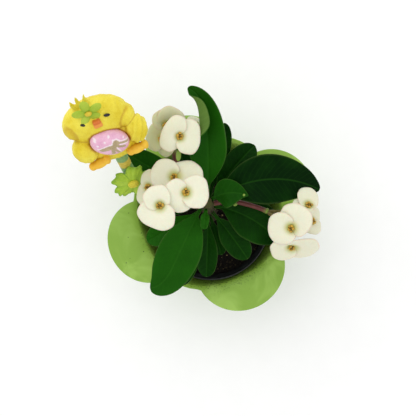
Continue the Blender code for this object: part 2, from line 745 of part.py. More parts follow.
def figure_place(along, up, out, turn=0.0):
    """Matrix of a spot on the figure: right, up along the stick and out of its face."""
    right = Vector(FIGURE_RIGHT).normalized()
    facing = Vector(FIGURE_FACING).normalized()
    top = figure_up()
    origin = Vector(FIGURE_CENTRE) + right * along + top * up + facing * out
    return basis(right, top, facing, origin) @ Matrix.Rotation(math.radians(turn), 4, "Z")


def flower_disc(name, radius, notch, frill, points, cup, place, thickness, collection):
    """Flower of five petals in one piece: a disc whose rim swings in and out between them."""
    shape = bmesh.new()
    middle = shape.verts.new((0.0, 0.0, 0.0))
    rows = []
    for ring in (0.45, 1.0):
        row = []
        for index in range(points):
            angle = 2.0 * math.pi * index / points
            swing = abs(math.cos(2.5 * angle)) ** 0.6
            reach = radius * ring * (1.0 - (1.0 - swing) * notch * ring)
            reach *= 1.0 + frill * math.cos(15.0 * angle) * ring
            row.append(shape.verts.new((reach * math.cos(angle), reach * math.sin(angle),
                                        cup * (reach / radius) ** 2)))
        rows.append(row)
    for index in range(points):
        after = (index + 1) % points
        shape.faces.new((middle, rows[0][index], rows[0][after]))
        shape.faces.new((rows[0][index], rows[1][index], rows[1][after], rows[0][after]))
    bmesh.ops.triangulate(shape, faces=shape.faces)
    bmesh.ops.transform(shape, matrix=place, verts=shape.verts)
    return applied(solidify(mesh_object(name, shape, collection), thickness))


def make_chick(collection, cutters):
    """One moulded figure: chick with an egg, feet, tuft and head flower, and the sleeve below."""
    figure = ball("chick_figure", HEAD[0], figure_place(*HEAD[1]), collection, 14, 8)
    parts = [
        ball("torso", TORSO[0], figure_place(*TORSO[1]), collection, 14, 8),
        ball("egg", EGG[0], figure_place(*EGG[1]), collection, 12, 8),
    ]
    for side in (-1, 1):
        along, up, out = THIGH[1]
        parts.append(ball("thigh", THIGH[0], figure_place(side * along, up, out), collection, 10, 7))
        along, up, out, turn = FOOT[1]
        parts.append(ball("foot", FOOT[0], figure_place(side * along, up, out, side * turn), collection, 10, 6))
    beak = figure_place(*BEAK_PLACE) @ Matrix.Rotation(math.radians(90), 4, "Z")
    parts.append(cone("beak", BEAK_RADII, BEAK_LENGTH, 6, beak, collection))
    for place in TUFTS:
        place = figure_place(*place) @ Matrix.Rotation(math.radians(-90), 4, "X")
        parts.append(cone("tuft", TUFT_RADII, TUFT_LENGTH, 6, place, collection))
    flower = figure_place(*HEAD_FLOWER_PLACE)
    parts.append(flower_disc("head_flower", HEAD_FLOWER_RADIUS, 0.6, 0.0, 30, 0.0, flower, 2.0, collection))
    sleeve = figure_place(0, SLEEVE_TOP, 0) @ Matrix.Rotation(math.radians(90), 4, "X")
    parts.append(cone("sleeve", (SLEEVE_RADIUS, SLEEVE_RADIUS), SLEEVE_TOP - SLEEVE_BOTTOM, 14, sleeve,
                      collection))
    joined(figure, parts)
    bottom = figure_place(0, SLEEVE_BOTTOM - 5.0, 0) @ Matrix.Rotation(math.radians(-90), 4, "X")
    radius = STICK_RADIUS + GAP
    socket = cone("stick_socket", (radius, radius), SOCKET_DEPTH + 5.0, 12, bottom, cutters)
    return dress(cut(figure, socket), "chick_yellow", 50.0)


def make_stick(collection):
    way = figure_up()
    low = Vector(STICK_FOOT) - way * STICK_DEPTH
    high = Vector(FIGURE_CENTRE) + way * (SLEEVE_BOTTOM + SOCKET_DEPTH - GAP)
    radii = (STICK_RADIUS, STICK_RADIUS)
    return dress(cone("pick_stick", radii, (high - low).length, 8, upright_basis(way, low), collection),
                 "stick_wood")


def make_ornament(collection):
    """Frilled flower seated on the front of the stick by a short boss, with a domed centre."""
    place = figure_place(ORNAMENT_ASIDE, ORNAMENT_PLACE, ORNAMENT_OUT, ORNAMENT_TURN)
    flower = flower_disc("ornament_flower", ORNAMENT_RADIUS, 0.4, 0.07, 40, ORNAMENT_BEND, place,
                         ORNAMENT_THICKNESS, collection)
    seat = STICK_RADIUS + GAP
    boss = figure_place(0.0, ORNAMENT_PLACE, seat)
    joined(flower, [cone("boss", (BOSS_RADIUS, BOSS_RADIUS), ORNAMENT_OUT - seat, 8, boss, collection)])
    dress(flower, "ornament_green", 60.0)
    centre = place @ Matrix.Translation((0.0, 0.0, 1.0 + GAP))
    dress(cone("ornament_centre", (3.6, 2.4), 2.2, 10, centre, collection), "ornament_yellow")


def build():
    clear_scene()
    plant = new_collection("potted_euphorbia")
    cutters = new_collection("cutters")
    make_cover_pot(plant)
    make_nursery_pot(plant)
    make_soil(plant, cutters)
    make_stem(plant)
    for number, leaf in enumerate(LEAVES, 1):
        make_leaf(number, leaf, plant)
    for key, blooms in BLOOMS.items():
        make_stalk(key, plant)
        for number, bloom in enumerate(blooms, 1):
            make_bloom(f"bloom_{key}{number}", bloom, plant)
            make_centre(f"bloom_{key}{number}_centre", bloom, plant)
    make_chick(plant, cutters)
    make_stick(plant)
    make_ornament(plant)


build()
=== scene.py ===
import math
import random

import bmesh
import bpy
from mathutils import Matrix, Vector, noise


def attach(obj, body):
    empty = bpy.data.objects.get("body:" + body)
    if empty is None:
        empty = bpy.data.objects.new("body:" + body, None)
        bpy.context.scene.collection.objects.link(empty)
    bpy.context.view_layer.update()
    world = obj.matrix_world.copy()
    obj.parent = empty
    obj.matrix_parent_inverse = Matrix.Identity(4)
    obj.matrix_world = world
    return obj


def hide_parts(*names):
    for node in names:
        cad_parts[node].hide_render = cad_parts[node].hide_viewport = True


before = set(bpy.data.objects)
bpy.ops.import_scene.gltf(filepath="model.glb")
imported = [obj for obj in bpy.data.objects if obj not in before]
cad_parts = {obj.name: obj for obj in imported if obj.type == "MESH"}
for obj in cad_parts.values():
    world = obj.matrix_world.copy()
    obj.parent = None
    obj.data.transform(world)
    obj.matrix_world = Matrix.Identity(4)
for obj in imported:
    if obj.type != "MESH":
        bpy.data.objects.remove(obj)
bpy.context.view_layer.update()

# Potted euphorbia seen from above: +X is right, +Y is up in the picture, +Z comes out of the pot.
# Sizes in the dictionaries are millimetres and degrees; meshes are made in metres.
mm = 0.001
up = Vector((0, 0, 1))


def colour(code):
    # sRGB hex to the linear values that shader nodes take
    parts = [int(code[at:at + 2], 16) / 255 for at in (1, 3, 5)]
    return [part / 12.92 if part <= 0.04045 else ((part + 0.055) / 1.055) ** 2.4 for part in parts] + [1]


def addNode(tree, kind, settings=None, inputs=None):
    # each input is a plain value or the output of another node
    node = tree.nodes.new("ShaderNode" + kind)
    for name, value in (settings or {}).items():
        setattr(node, name, value)
    for socket, value in (inputs or {}).items():
        if isinstance(value, bpy.types.NodeSocket):
            tree.links.new(value, node.inputs[socket])
        else:
            node.inputs[socket].default_value = value
    return node


def startMaterial(name, inputs):
    material = bpy.data.materials.new(name)
    material.use_nodes = True
    shader = material.node_tree.nodes["Principled BSDF"]
    for socket, value in inputs.items():
        shader.inputs[socket].default_value = value
    return material, material.node_tree, shader


def startShape(*marks):
    shape = bmesh.new()
    shape.loops.layers.uv.new("UVMap")
    for mark in marks:
        shape.verts.layers.float.new(mark)
    return shape


def addSheet(shape, columns, rows, place, marks=None, chart=None):
    # a grid whose corners go where place(u, v) says; marks are values painted on the corners by name
    corners = bmesh.ops.create_grid(shape, x_segments=columns, y_segments=rows, size=0.5)["verts"]
    uvLayer = shape.loops.layers.uv["UVMap"]
    for face in {face for corner in corners for face in corner.link_faces}:
        for loop in face.loops:
            u, v = loop.vert.co.x + 0.5, loop.vert.co.y + 0.5
            loop[uvLayer].uv = chart(u, v) if chart else (u, v)
    for corner in corners:
        u, v = corner.co.x + 0.5, corner.co.y + 0.5
        for mark, value in (marks or {}).items():
            corner[shape.verts.layers.float[mark]] = value(u, v) if callable(value) else value
        corner.co = place(u, v) * mm
    return corners


def addForm(shape, kind, matrix, marks=None, **sizes):
    # a ready-made form of bmesh, placed by a matrix in millimetres
    made = getattr(bmesh.ops, "create_" + kind)(shape, matrix=Matrix.Scale(mm, 4) @ matrix, **sizes)["verts"]
    for mark, value in (marks or {}).items():
        for corner in made:
            corner[shape.verts.layers.float[mark]] = value
    return made


def addBall(shape, matrix, sizes, marks=None, around=24, rings=16):
    return addForm(shape, "uvsphere", matrix @ Matrix.Diagonal((*sizes, 1)), marks, u_segments=around,
                   v_segments=rings, radius=1)


def addTube(shape, points, radius, sides, steps, marks=None, swell=None):
    # a closed tube along a smooth route; radius(share) in millimetres, swell(share, turn) scales it
    path = [routePoint(points, step / steps) for step in range(steps + 1)]
    side = None
    frames = []
    for step, point in enumerate(path):
        way = (path[min(step + 1, steps)] - path[max(step - 1, 0)]).normalized()
        side = (side or way.orthogonal()) - way * (side or way.orthogonal()).dot(way)
        side.normalize()
        frames.append((point, side.copy(), way.cross(side)))

    def place(u, v):
        row = round(v * (steps + 2)) - 1
        point, across, level = frames[min(max(row, 0), steps)]
        if row in (-1, steps + 1):
            return point
        share, turn = row / steps, 2 * math.pi * u
        size = radius(share) * (swell(share, turn) if swell else 1)
        return point + (across * math.cos(turn) + level * math.sin(turn)) * size

    return addSheet(shape, sides, steps + 2, place, marks)


def routePoint(points, share):
    # Catmull-Rom curve through the points
    spans = len(points) - 1
    at = min(int(share * spans), spans - 1)
    part = share * spans - at
    first, second = points[at], points[at + 1]
    before = points[at - 1] if at else first * 2 - second
    after = points[at + 2] if at + 2 <= spans else second * 2 - first
    cubic = (first - second) * 3 - before + after
    square = before * 2 - first * 5 + second * 4 - after
    return first + ((cubic * part + square) * part + second - before) * (part / 2)


def finishPiece(name, shape, materials, stands=(), sharp=None, outward=True):
    bmesh.ops.remove_doubles(shape, verts=shape.verts, dist=0.002 * mm)
    bmesh.ops.dissolve_degenerate(shape, edges=shape.edges, dist=0.0005 * mm)
    if outward:
        bmesh.ops.recalc_face_normals(shape, faces=shape.faces)
    mesh = bpy.data.meshes.new(name)
    shape.to_mesh(mesh)
    shape.free()
    mesh.shade_smooth()
    if sharp:
        mesh.set_sharp_from_angle(angle=math.radians(sharp))
    piece = bpy.data.objects.new(name, mesh)
    bpy.context.scene.collection.objects.link(piece)
    for material in materials:
        mesh.materials.append(material)
    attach(piece, "root")
    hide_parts(*stands)
    return piece


def addWall(piece, thickness, offset, underside=0, rim=0):
    wall = piece.modifiers.new("wall", "SOLIDIFY")
    wall.thickness = thickness * mm
    wall.offset = offset
    wall.material_offset = underside
    wall.material_offset_rim = rim
    return piece


def heading(az, el=0.0):
    az, el = math.radians(az), math.radians(el)
    return Vector((math.cos(az) * math.cos(el), math.sin(az) * math.cos(el), math.sin(el)))


def smooth(low, high, value):
    part = min(max((value - low) / (high - low), 0), 1)
    return part * part * (3 - 2 * part)


# Cover pot: one pressed plastic cup whose rim flares into four petals
coverPot = {
    "wall": 1.8,
    "floorRadius": 43,
    "baseRadius": 46,
    "creaseRadius": 64.5,
    "creaseWave": 2.0,
    "creaseTurn": 24,
    "creaseHeight": 86,
    "lip": 3.0,
    "petalRise": 2.6,
    "petalDroop": 3.4,
    "riseRun": 4,
    "droopRun": 32,
    "flareStart": 0.25,
    "rowEase": 1.3,
    "wallRows": 18,
    "petalRows": 16,
    "petals": ((18, 59, 37, 39), (112, 56, 35, 37), (204, 62, 34.5, 37.5), (299, 55, 39, 40.5)),
    "stepsPerPetal": 56,
    "edgeRounding": 0.6,
}


def pressedPlastic():
    # pressed polypropylene: lime green with a soft sheen, paler clouds of painted highlight, a painted shade on the
    # inner wall lower down, fine orange peel and a few black specks
    plastic, tree, shader = startMaterial("pressed polypropylene", {"Roughness": 0.42, "Specular IOR Level": 0.35})
    at = addNode(tree, "TexCoord").outputs["Object"]
    split = addNode(tree, "SeparateXYZ", inputs={0: at})
    # paler clouds across the plastic: a painted highlight standing in for the glossy sheen
    cloud = addNode(tree, "TexNoise", inputs={"Vector": at, "Scale": 1 / (26 * mm), "Detail": 3, "Distortion": 0.8})
    paintedSheen = addNode(tree, "MapRange", {"interpolation_type": "SMOOTHSTEP"},
                     {"Value": cloud.outputs["Fac"], "From Min": 0.42, "From Max": 0.68})
    body = addNode(tree, "Mix", {"data_type": "RGBA"},
                   {0: paintedSheen.outputs[0], 6: colour("#86ad3f"), 7: colour("#9cc156")})
    # painted shade: the inner wall darkens and yellows towards the bottom, where it lies in shade between green walls
    depth = addNode(tree, "MapRange", {"interpolation_type": "SMOOTHSTEP"},
                    {"Value": split.outputs["Z"], "From Min": 60 * mm, "From Max": 88 * mm})
    shadedWall = addNode(tree, "Mix", {"data_type": "RGBA"},
                     {0: depth.outputs[0], 6: colour("#6d8f22"), 7: body.outputs[2]})
    grains = addNode(tree, "TexVoronoi", inputs={"Vector": at, "Scale": 1 / (8 * mm)})
    speck = addNode(tree, "MapRange", inputs={"Value": grains.outputs["Distance"], "From Min": 0.05,
                                              "From Max": 0.08, "To Min": 0.85, "To Max": 0})
    nursery = addNode(tree, "VectorMath", {"operation": "DISTANCE"}, {0: at, 1: (0.85 * mm, -7 * mm, 88 * mm)})
    rimZone = addNode(tree, "MapRange", inputs={"Value": nursery.outputs["Value"], "From Min": 54 * mm,
                                                "From Max": 66 * mm, "To Min": 1, "To Max": 0})
    dust = addNode(tree, "TexNoise", inputs={"Vector": at, "Scale": 1 / (1.3 * mm), "Detail": 2})
    dirt = addNode(tree, "MapRange", inputs={"Value": dust.outputs["Fac"], "From Min": 0.57, "From Max": 0.66})
    rimDirt = addNode(tree, "Math", {"operation": "MULTIPLY"}, {0: dirt.outputs[0], 1: rimZone.outputs[0]})
    dark = addNode(tree, "Math", {"operation": "MAXIMUM"}, {0: rimDirt.outputs[0], 1: speck.outputs[0]})
    specked = addNode(tree, "Mix", {"data_type": "RGBA"},
                      {0: dark.outputs[0], 6: shadedWall.outputs[2], 7: colour("#2b3516")})
    peel = addNode(tree, "TexNoise", inputs={"Vector": at, "Scale": 1 / (1.6 * mm), "Detail": 2})
    bump = addNode(tree, "Bump", inputs={"Strength": 0.12, "Distance": 0.2 * mm, "Height": peel.outputs["Fac"]})
    tree.links.new(specked.outputs[2], shader.inputs["Base Color"])
    tree.links.new(bump.outputs[0], shader.inputs["Normal"])
    return plastic


def creaseRadius(turn):
    wave = math.cos(4 * (turn - math.radians(coverPot["creaseTurn"])))
    return coverPot["creaseRadius"] - coverPot["creaseWave"] * wave


def rimSpokes():
    # angle at the crease and outer point of each spoke, petal by petal, with notches between them
    spokes = []
    petals = coverPot["petals"]
    steps = coverPot["stepsPerPetal"]
    for number, (toward, distance, length, width) in enumerate(petals):
        turn = math.radians(toward)
        reach = math.pi
        while True:
            along = distance + length * math.cos(reach)
            across = width * math.sin(reach)
            edge = creaseRadius(turn + math.atan2(across, along)) + coverPot["lip"]
            if math.hypot(along, across) > edge:
                break
            reach -= 0.002
        half = math.atan2(across, along)
        for step in range(steps + 1):
            share = 2 * step / steps - 1
            along = distance + length * math.cos(reach * share)
            across = width * math.sin(reach * share)
            spokes.append((turn + half * share, Vector((along, across, 0)) @ Matrix.Rotation(-turn, 3, "Z")))
        following = math.radians(petals[(number + 1) % 4][0]) + (2 * math.pi if number == 3 else 0)
        for share in (0.2, 0.4, 0.6, 0.8):
            turnHere = turn + half + (following - turn - 2 * half) * share
            spokes.append((turnHere, Vector((1, 0, 0)) @ Matrix.Rotation(-turnHere, 3, "Z")
                           * (creaseRadius(turnHere) + coverPot["lip"])))
    return spokes


def makeCoverPot():
    spokes = rimSpokes()
    floor = coverPot["wall"]
    wallRows, petalRows = coverPot["wallRows"], coverPot["petalRows"]

    def place(u, v):
        turn, outer = spokes[-round(u * len(spokes)) % len(spokes)]
        row = round(v * (wallRows + petalRows + 2))
        ray = Vector((math.cos(turn), math.sin(turn), 0))
        if row < 2:
            return ray * (coverPot["floorRadius"] * row) + up * floor
        share = min((row - 2) / wallRows, 1)
        flare = coverPot["flareStart"] * share + (1 - coverPot["flareStart"]) * share * share
        radius = coverPot["baseRadius"] + (creaseRadius(turn) - coverPot["baseRadius"]) * flare
        spot = ray * radius + up * (floor + (coverPot["creaseHeight"] - floor) * share)
        if row <= wallRows + 2:
            return spot
        share = ((row - 2 - wallRows) / petalRows) ** coverPot["rowEase"]
        reach = Vector((outer.x - spot.x, outer.y - spot.y, 0))
        run = reach.length * share
        rise = coverPot["petalRise"] * (1 - math.exp(-run / coverPot["riseRun"]))
        rise -= coverPot["petalDroop"] * (run / coverPot["droopRun"]) ** 2
        return spot + reach * share + up * rise

    shape = startShape()
    addSheet(shape, len(spokes), wallRows + petalRows + 2, place)
    pot = finishPiece("coverPot", shape, [pressedPlastic()], ["cover_pot"], outward=False)
    addWall(pot, coverPot["wall"], -1)
    edge = pot.modifiers.new("rounded edge", "BEVEL")
    edge.width = coverPot["edgeRounding"] * mm
    edge.segments = 3
    edge.limit_method = "ANGLE"
    edge.angle_limit = math.radians(50)
    return pot


# Nursery pot and its soil
nurseryPot = {
    "centre": (0.85, -7.0),
    "rimRadius": 52.4,
    "topRadius": 50.0,
    "baseRadius": 36.0,
    "rimHeight": 92.0,
    "floor": 2.1,
    "wall": 1.0,
}
soil = {
    "height": 82.0,
    "radius": 48.0,
    "rings": 40,
    "sides": 140,
    "crumbRadius": 47,
    "crumbSizes": (0.35, 1.3),
    "lumps": 1.5,
    "crumbs": 900,
    "paleShare": 0.06,
}


def blackPlastic():
    # thin vacuum-formed polystyrene: near black, dull, with pale dust and scuffs on its rim
    plastic, tree, shader = startMaterial("black nursery polystyrene", {"Roughness": 0.55, "Specular IOR Level": 0.3})
    at = addNode(tree, "TexCoord").outputs["Object"]
    dust = addNode(tree, "TexNoise", inputs={"Vector": at, "Scale": 1 / (6 * mm), "Detail": 6})
    film = addNode(tree, "MapRange", inputs={"Value": dust.outputs["Fac"], "From Min": 0.5, "From Max": 0.75,
                                             "To Max": 0.6})
    body = addNode(tree, "Mix", {"data_type": "RGBA"},
                   {0: film.outputs[0], 6: colour("#0d110f"), 7: colour("#3a4140")})
    bump = addNode(tree, "Bump", inputs={"Strength": 0.2, "Distance": 0.2 * mm, "Height": dust.outputs["Fac"]})
    tree.links.new(body.outputs[2], shader.inputs["Base Color"])
    tree.links.new(bump.outputs[0], shader.inputs["Normal"])
    return plastic


def peatCompost(name, marked):
    # damp peat compost: black-brown and rough; the crumbs on it are peat, bark chips and a little grit
    compost, tree, shader = startMaterial(name, {"Roughness": 0.95, "Specular IOR Level": 0.15})
    at = addNode(tree, "TexCoord").outputs["Object"]
    grain = addNode(tree, "TexNoise", inputs={"Vector": at, "Scale": 1 / (1.5 * mm), "Detail": 8})
    body = addNode(tree, "Mix", {"data_type": "RGBA"},
                   {0: grain.outputs["Fac"], 6: colour("#020202"), 7: colour("#16110c")})
    last = body
    if marked:
        tone = addNode(tree, "Attribute", {"attribute_name": "tone"})
        last = addNode(tree, "Mix", {"data_type": "RGBA"},
                       {0: tone.outputs["Fac"], 6: body.outputs[2], 7: colour("#a8946a")})
    bump = addNode(tree, "Bump", inputs={"Strength": 0.9, "Distance": 0.8 * mm, "Height": grain.outputs["Fac"]})
    tree.links.new(last.outputs[2], shader.inputs["Base Color"])
    tree.links.new(bump.outputs[0], shader.inputs["Normal"])
    return compost


def soilHeight(x, y):
    spot = Vector((x, y, 0))
    lump = noise.noise(spot / 9) + 0.6 * noise.noise(spot / 3.5) + 0.35 * noise.noise(spot / 1.6)
    return soil["height"] + soil["lumps"] * lump


def makeNurseryPot():
    rim, floor, wall = nurseryPot["rimHeight"], nurseryPot["floor"], nurseryPot["wall"]
    outer, top, base = nurseryPot["rimRadius"], nurseryPot["topRadius"], nurseryPot["baseRadius"]
    profile = ((outer - 1, rim), (outer - 0.3, rim - 0.25), (outer, rim - 0.9), (outer, rim - 6.6),
               (outer - 0.4, rim - 7.1), (top, rim - 7.8), (base + 1.2, floor + 1.2), (base - 0.4, floor),
               (0, floor), (0, floor + wall), (base - wall, floor + wall), (top - wall, rim - 7.8),
               (outer - 1.6, rim - 5), (outer - 1.6, rim - 0.6), (outer - 1.3, rim - 0.1), (outer - 1, rim))
    shape = startShape()
    points = [shape.verts.new((radius * mm, 0, height * mm)) for radius, height in profile]
    edges = [shape.edges.new(pair) for pair in zip(points, points[1:])]
    bmesh.ops.spin(shape, geom=points + edges, cent=(0, 0, 0), axis=(0, 0, 1), angle=2 * math.pi, steps=120,
                   use_merge=True)
    middle = Matrix.Translation((nurseryPot["centre"][0] * mm, nurseryPot["centre"][1] * mm, 0))
    bmesh.ops.transform(shape, matrix=middle, verts=shape.verts)
    finishPiece("nurseryPot", shape, [blackPlastic()], ["nursery_pot"], sharp=35)


def makeSoil():
    centreX, centreY = nurseryPot["centre"]
    floor = nurseryPot["floor"] + nurseryPot["wall"] + 0.3
    foot = nurseryPot["baseRadius"] - nurseryPot["wall"] - 0.5
    rings = soil["rings"]

    def place(u, v):
        turn = -2 * math.pi * u
        row = round(v * (rings + 2))
        radius = soil["radius"] * min(row, rings) / rings if row <= rings else (foot if row == rings + 1 else 0)
        x, y = centreX + radius * math.cos(turn), centreY + radius * math.sin(turn)
        return Vector((x, y, soilHeight(x, y) if row <= rings else floor))

    shape = startShape()
    addSheet(shape, soil["sides"], rings + 2, place)
    finishPiece("pottingSoil", shape, [peatCompost("damp peat compost", False)], ["potting_soil"],
                sharp=60)
    rng = random.Random(11)
    shape = startShape("tone")
    for number in range(soil["crumbs"]):
        radius = soil["crumbRadius"] * math.sqrt(rng.random())
        turn = rng.uniform(0, 2 * math.pi)
        x, y = centreX + radius * math.cos(turn), centreY + radius * math.sin(turn)
        size = rng.uniform(*soil["crumbSizes"])
        pale = rng.random() < soil["paleShare"]
        spin = Matrix.Rotation(rng.uniform(0, 6), 4, (rng.random(), rng.random(), 0.5))
        squash = Matrix.Diagonal((size, size * rng.uniform(0.5, 1), size * rng.uniform(0.4, 0.9), 1))
        addForm(shape, "icosphere", Matrix.Translation((x, y, soilHeight(x, y) + size * 0.2)) @ spin @ squash,
                {"tone": rng.uniform(0.3, 0.9) if pale else rng.uniform(0, 0.08)}, subdivisions=1, radius=1)
    finishPiece("soilCrumbs", shape, [peatCompost("compost crumbs", True)], sharp=30)


# Stem: woody, grey-brown and ridged, with a side branch and many thorns
stem = {
    "foot": (1.0, -5.0, 62.0),
    "top": (-3.0, 9.0, 158.0),
    "radii": (6.6, 4.5),
    "branchStart": 105.0,
    "branchTop": (-22.0, 22.0, 150.0),
    "branchRadii": (3.8, 3.0),
    "thornLength": 4.6,
    "thornRadius": 0.75,
    "thorns": 70,
    "thornsFrom": 84,
    "thornTurn": 137.5,
    "branchThorns": 26,
    "branchThornTurn": 99,
    "trunkStep": 24,
    "ridgeDepth": 0.05,
    "barkDepth": 0.09,
}


def greyBark():
    # corky bark: grey-brown and cracked on the old wood, greener and smoother on the branch tips
    bark, tree, shader = startMaterial("corky grey bark", {"Roughness": 0.85, "Specular IOR Level": 0.2})
    at = addNode(tree, "TexCoord").outputs["Object"]
    stretch = addNode(tree, "Mapping", inputs={"Vector": at, "Scale": (1, 1, 0.35)})
    ridge = addNode(tree, "TexNoise", inputs={"Vector": stretch.outputs[0], "Scale": 1 / (1.4 * mm), "Detail": 7})
    body = addNode(tree, "Mix", {"data_type": "RGBA"},
                   {0: ridge.outputs["Fac"], 6: colour("#241e13"), 7: colour("#544f39")})
    height = addNode(tree, "SeparateXYZ", inputs={0: at})
    young = addNode(tree, "MapRange", inputs={"Value": height.outputs["Z"], "From Min": 138 * mm,
                                              "From Max": 158 * mm, "To Max": 0.75})
    grown = addNode(tree, "Mix", {"data_type": "RGBA"},
                    {0: young.outputs[0], 6: body.outputs[2], 7: colour("#4c4f26")})
    bump = addNode(tree, "Bump", inputs={"Strength": 0.8, "Distance": 0.5 * mm, "Height": ridge.outputs["Fac"]})
    tree.links.new(grown.outputs[2], shader.inputs["Base Color"])
    tree.links.new(bump.outputs[0], shader.inputs["Normal"])
    return bark


def stemPoint(height):
    foot, top = Vector(stem["foot"]), Vector(stem["top"])
    return foot.lerp(top, (height - foot.z) / (top.z - foot.z))


def stemRadius(height):
    share = (height - stem["foot"][2]) / (stem["top"][2] - stem["foot"][2])
    return stem["radii"][0] + (stem["radii"][1] - stem["radii"][0]) * share


def branchBend():
    return stemPoint(stem["branchStart"]).lerp(Vector(stem["branchTop"]), 0.45) + Vector((-3, 3, -4))


def makeStem():
    def ridges(share, turn):
        wobble = noise.noise(Vector((math.cos(turn) * 1.4, math.sin(turn) * 1.4, share * 14)))
        return 1 + stem["ridgeDepth"] * math.cos(5 * turn + 6 * share) + stem["barkDepth"] * wobble

    shape = startShape()
    low, high = stem["foot"][2], stem["top"][2]
    trunk = [stemPoint(low + stem["trunkStep"] * step) for step in range(5)]
    addTube(shape, trunk, lambda share: stemRadius(low + (high - low) * share), 28, 80, swell=ridges)
    tip = Vector(stem["branchTop"])
    branch = [stemPoint(stem["branchStart"]), branchBend(), tip]
    wide, thin = stem["branchRadii"]
    addTube(shape, branch, lambda share: wide - (wide - thin) * share, 22, 50, swell=ridges)
    rng = random.Random(5)
    for number in range(stem["thorns"]):
        height = stem["thornsFrom"] + number
        spread = stem["thornTurn"] * number
        root = stemPoint(height) + heading(spread) * (stemRadius(height) - 0.7)
        addThorn(shape, root, heading(spread, rng.uniform(0, 25)), rng.uniform(0.7, 1.1))
    for number in range(stem["branchThorns"]):
        share = 0.22 + 0.028 * number
        spread = stem["branchThornTurn"] * number
        root = routePoint(branch, share) + heading(spread) * 2.6
        addThorn(shape, root, heading(spread, rng.uniform(0, 30)), rng.uniform(0.55, 0.8))
    finishPiece("stem", shape, [greyBark()], ["stem"])


def addThorn(shape, root, way, scale):
    length, base = stem["thornLength"] * scale, stem["thornRadius"] * scale
    route = [root, root + way * (length * 0.5) - up * 0.15, root + way * length + up * 0.25]
    addTube(shape, route, lambda share: base * (1 - share) ** 1.4 + 0.06, 7, 6)


# Leaves: each starts on the bark at height "base", heads for "az" and turns by "sweep" and, near its tip,
# by "hook". "lift" and "droop" are its slopes at the stalk and at the tip. "curl" folds a side over.
leafUsual = {"sweep": 0, "hook": 0, "roll": 0, "twist": 0, "fold": 12, "widest": 0.64, "rise": 1.3,
             "blunt": 2.3, "point": 0, "wave": 0.6, "waves": 2.5, "curl": 0, "curlAt": 0.72, "tone": 0.4}
leaves = (
    {"base": 151, "az": 86, "lift": 27, "droop": -8, "length": 92, "half": 15.5, "widest": 0.45, "sweep": 14,
     "hook": 54, "roll": 10, "twist": 20, "fold": 14, "curl": 100, "point": 0.35, "rise": 1.1, "blunt": 1.9,
     "tone": 0.75},
    {"base": 138, "az": 77, "lift": 12, "droop": 2, "length": 63, "half": 8.5, "sweep": 2, "tone": 0.2},
    {"base": 142, "az": 58, "lift": 14, "droop": 4, "length": 56, "half": 11, "sweep": -14, "tone": 0.2},
    {"base": 151, "az": 36, "lift": 20, "droop": -28, "length": 94, "half": 20, "widest": 0.5, "sweep": -62,
     "point": 0.5, "rise": 0.9, "blunt": 1.9, "tone": 0.0},
    {"base": 156, "az": 34, "lift": 38, "droop": 0, "length": 31.5, "half": 11.5, "widest": 0.45, "sweep": -56,
     "point": 0.8, "rise": 0.9, "blunt": 1.7, "tone": 0.5},
    {"base": 142, "az": -8, "lift": 6, "droop": -4, "length": 60, "half": 17, "widest": 0.55, "sweep": -40,
     "rise": 1.0, "tone": 0.25},
    {"base": 136, "az": -50, "lift": 0, "droop": -6, "length": 48.5, "half": 10.6, "widest": 0.58, "sweep": -6,
     "tone": 0.25},
    {"base": 126, "az": -74, "lift": 0, "droop": -14, "length": 35, "half": 6.5, "tone": 0.3},
    {"base": 132, "az": -90, "lift": 0, "droop": -16, "length": 53, "half": 8.8, "sweep": -3, "tone": 0.3},
    {"base": 150, "side": -150, "az": -116, "lift": 8, "droop": -20, "length": 81, "half": 17.5, "widest": 0.5,
     "sweep": 2, "hook": -58, "point": 0.2, "rise": 0.75, "blunt": 2.3, "tone": 0.8},
    {"base": 134, "az": -150, "lift": 0, "droop": -8, "length": 52, "half": 9.5, "widest": 0.68, "tone": 1.5},
    {"base": 138, "branch": True, "az": 147, "lift": 4, "droop": 0, "length": 54, "half": 11.5, "widest": 0.55,
     "sweep": 4, "tone": 0.55},
    {"base": 156, "az": -96, "lift": 60, "droop": -30, "length": 18, "half": 3.5, "widest": 0.55, "tone": 0.95},
    {"base": 128, "az": -108, "lift": 0, "droop": -18, "length": 64, "half": 8, "widest": 0.6, "sweep": -2,
     "tone": 0.4},
    {"base": 126, "az": 176, "lift": 4, "droop": -10, "length": 40, "half": 8, "widest": 0.62, "tone": 0.3},
    {"base": 131, "az": 118, "lift": 6, "droop": 0, "length": 50, "half": 9, "widest": 0.62, "tone": 0.2},
)
chartUnit = 10  # millimetres of leaf for each unit of its UV chart
leafDetail = {
    "thickness": 0.9,
    "steps": 84,
    "cells": 28,
    "veinSpacing": 4.6,
    "veinLean": 0.75,
    "grooveDepth": 0.55,
    "grooveWidth": 1.1,
    "puff": 0.16,
    "crowding": 1.35,
    "stalkShare": 0.09,
    "stalkHalf": 1.3,
    "tipHalf": 0.35,
    "hookFrom": 0.6,
    "curlSpan": 0.22,
}


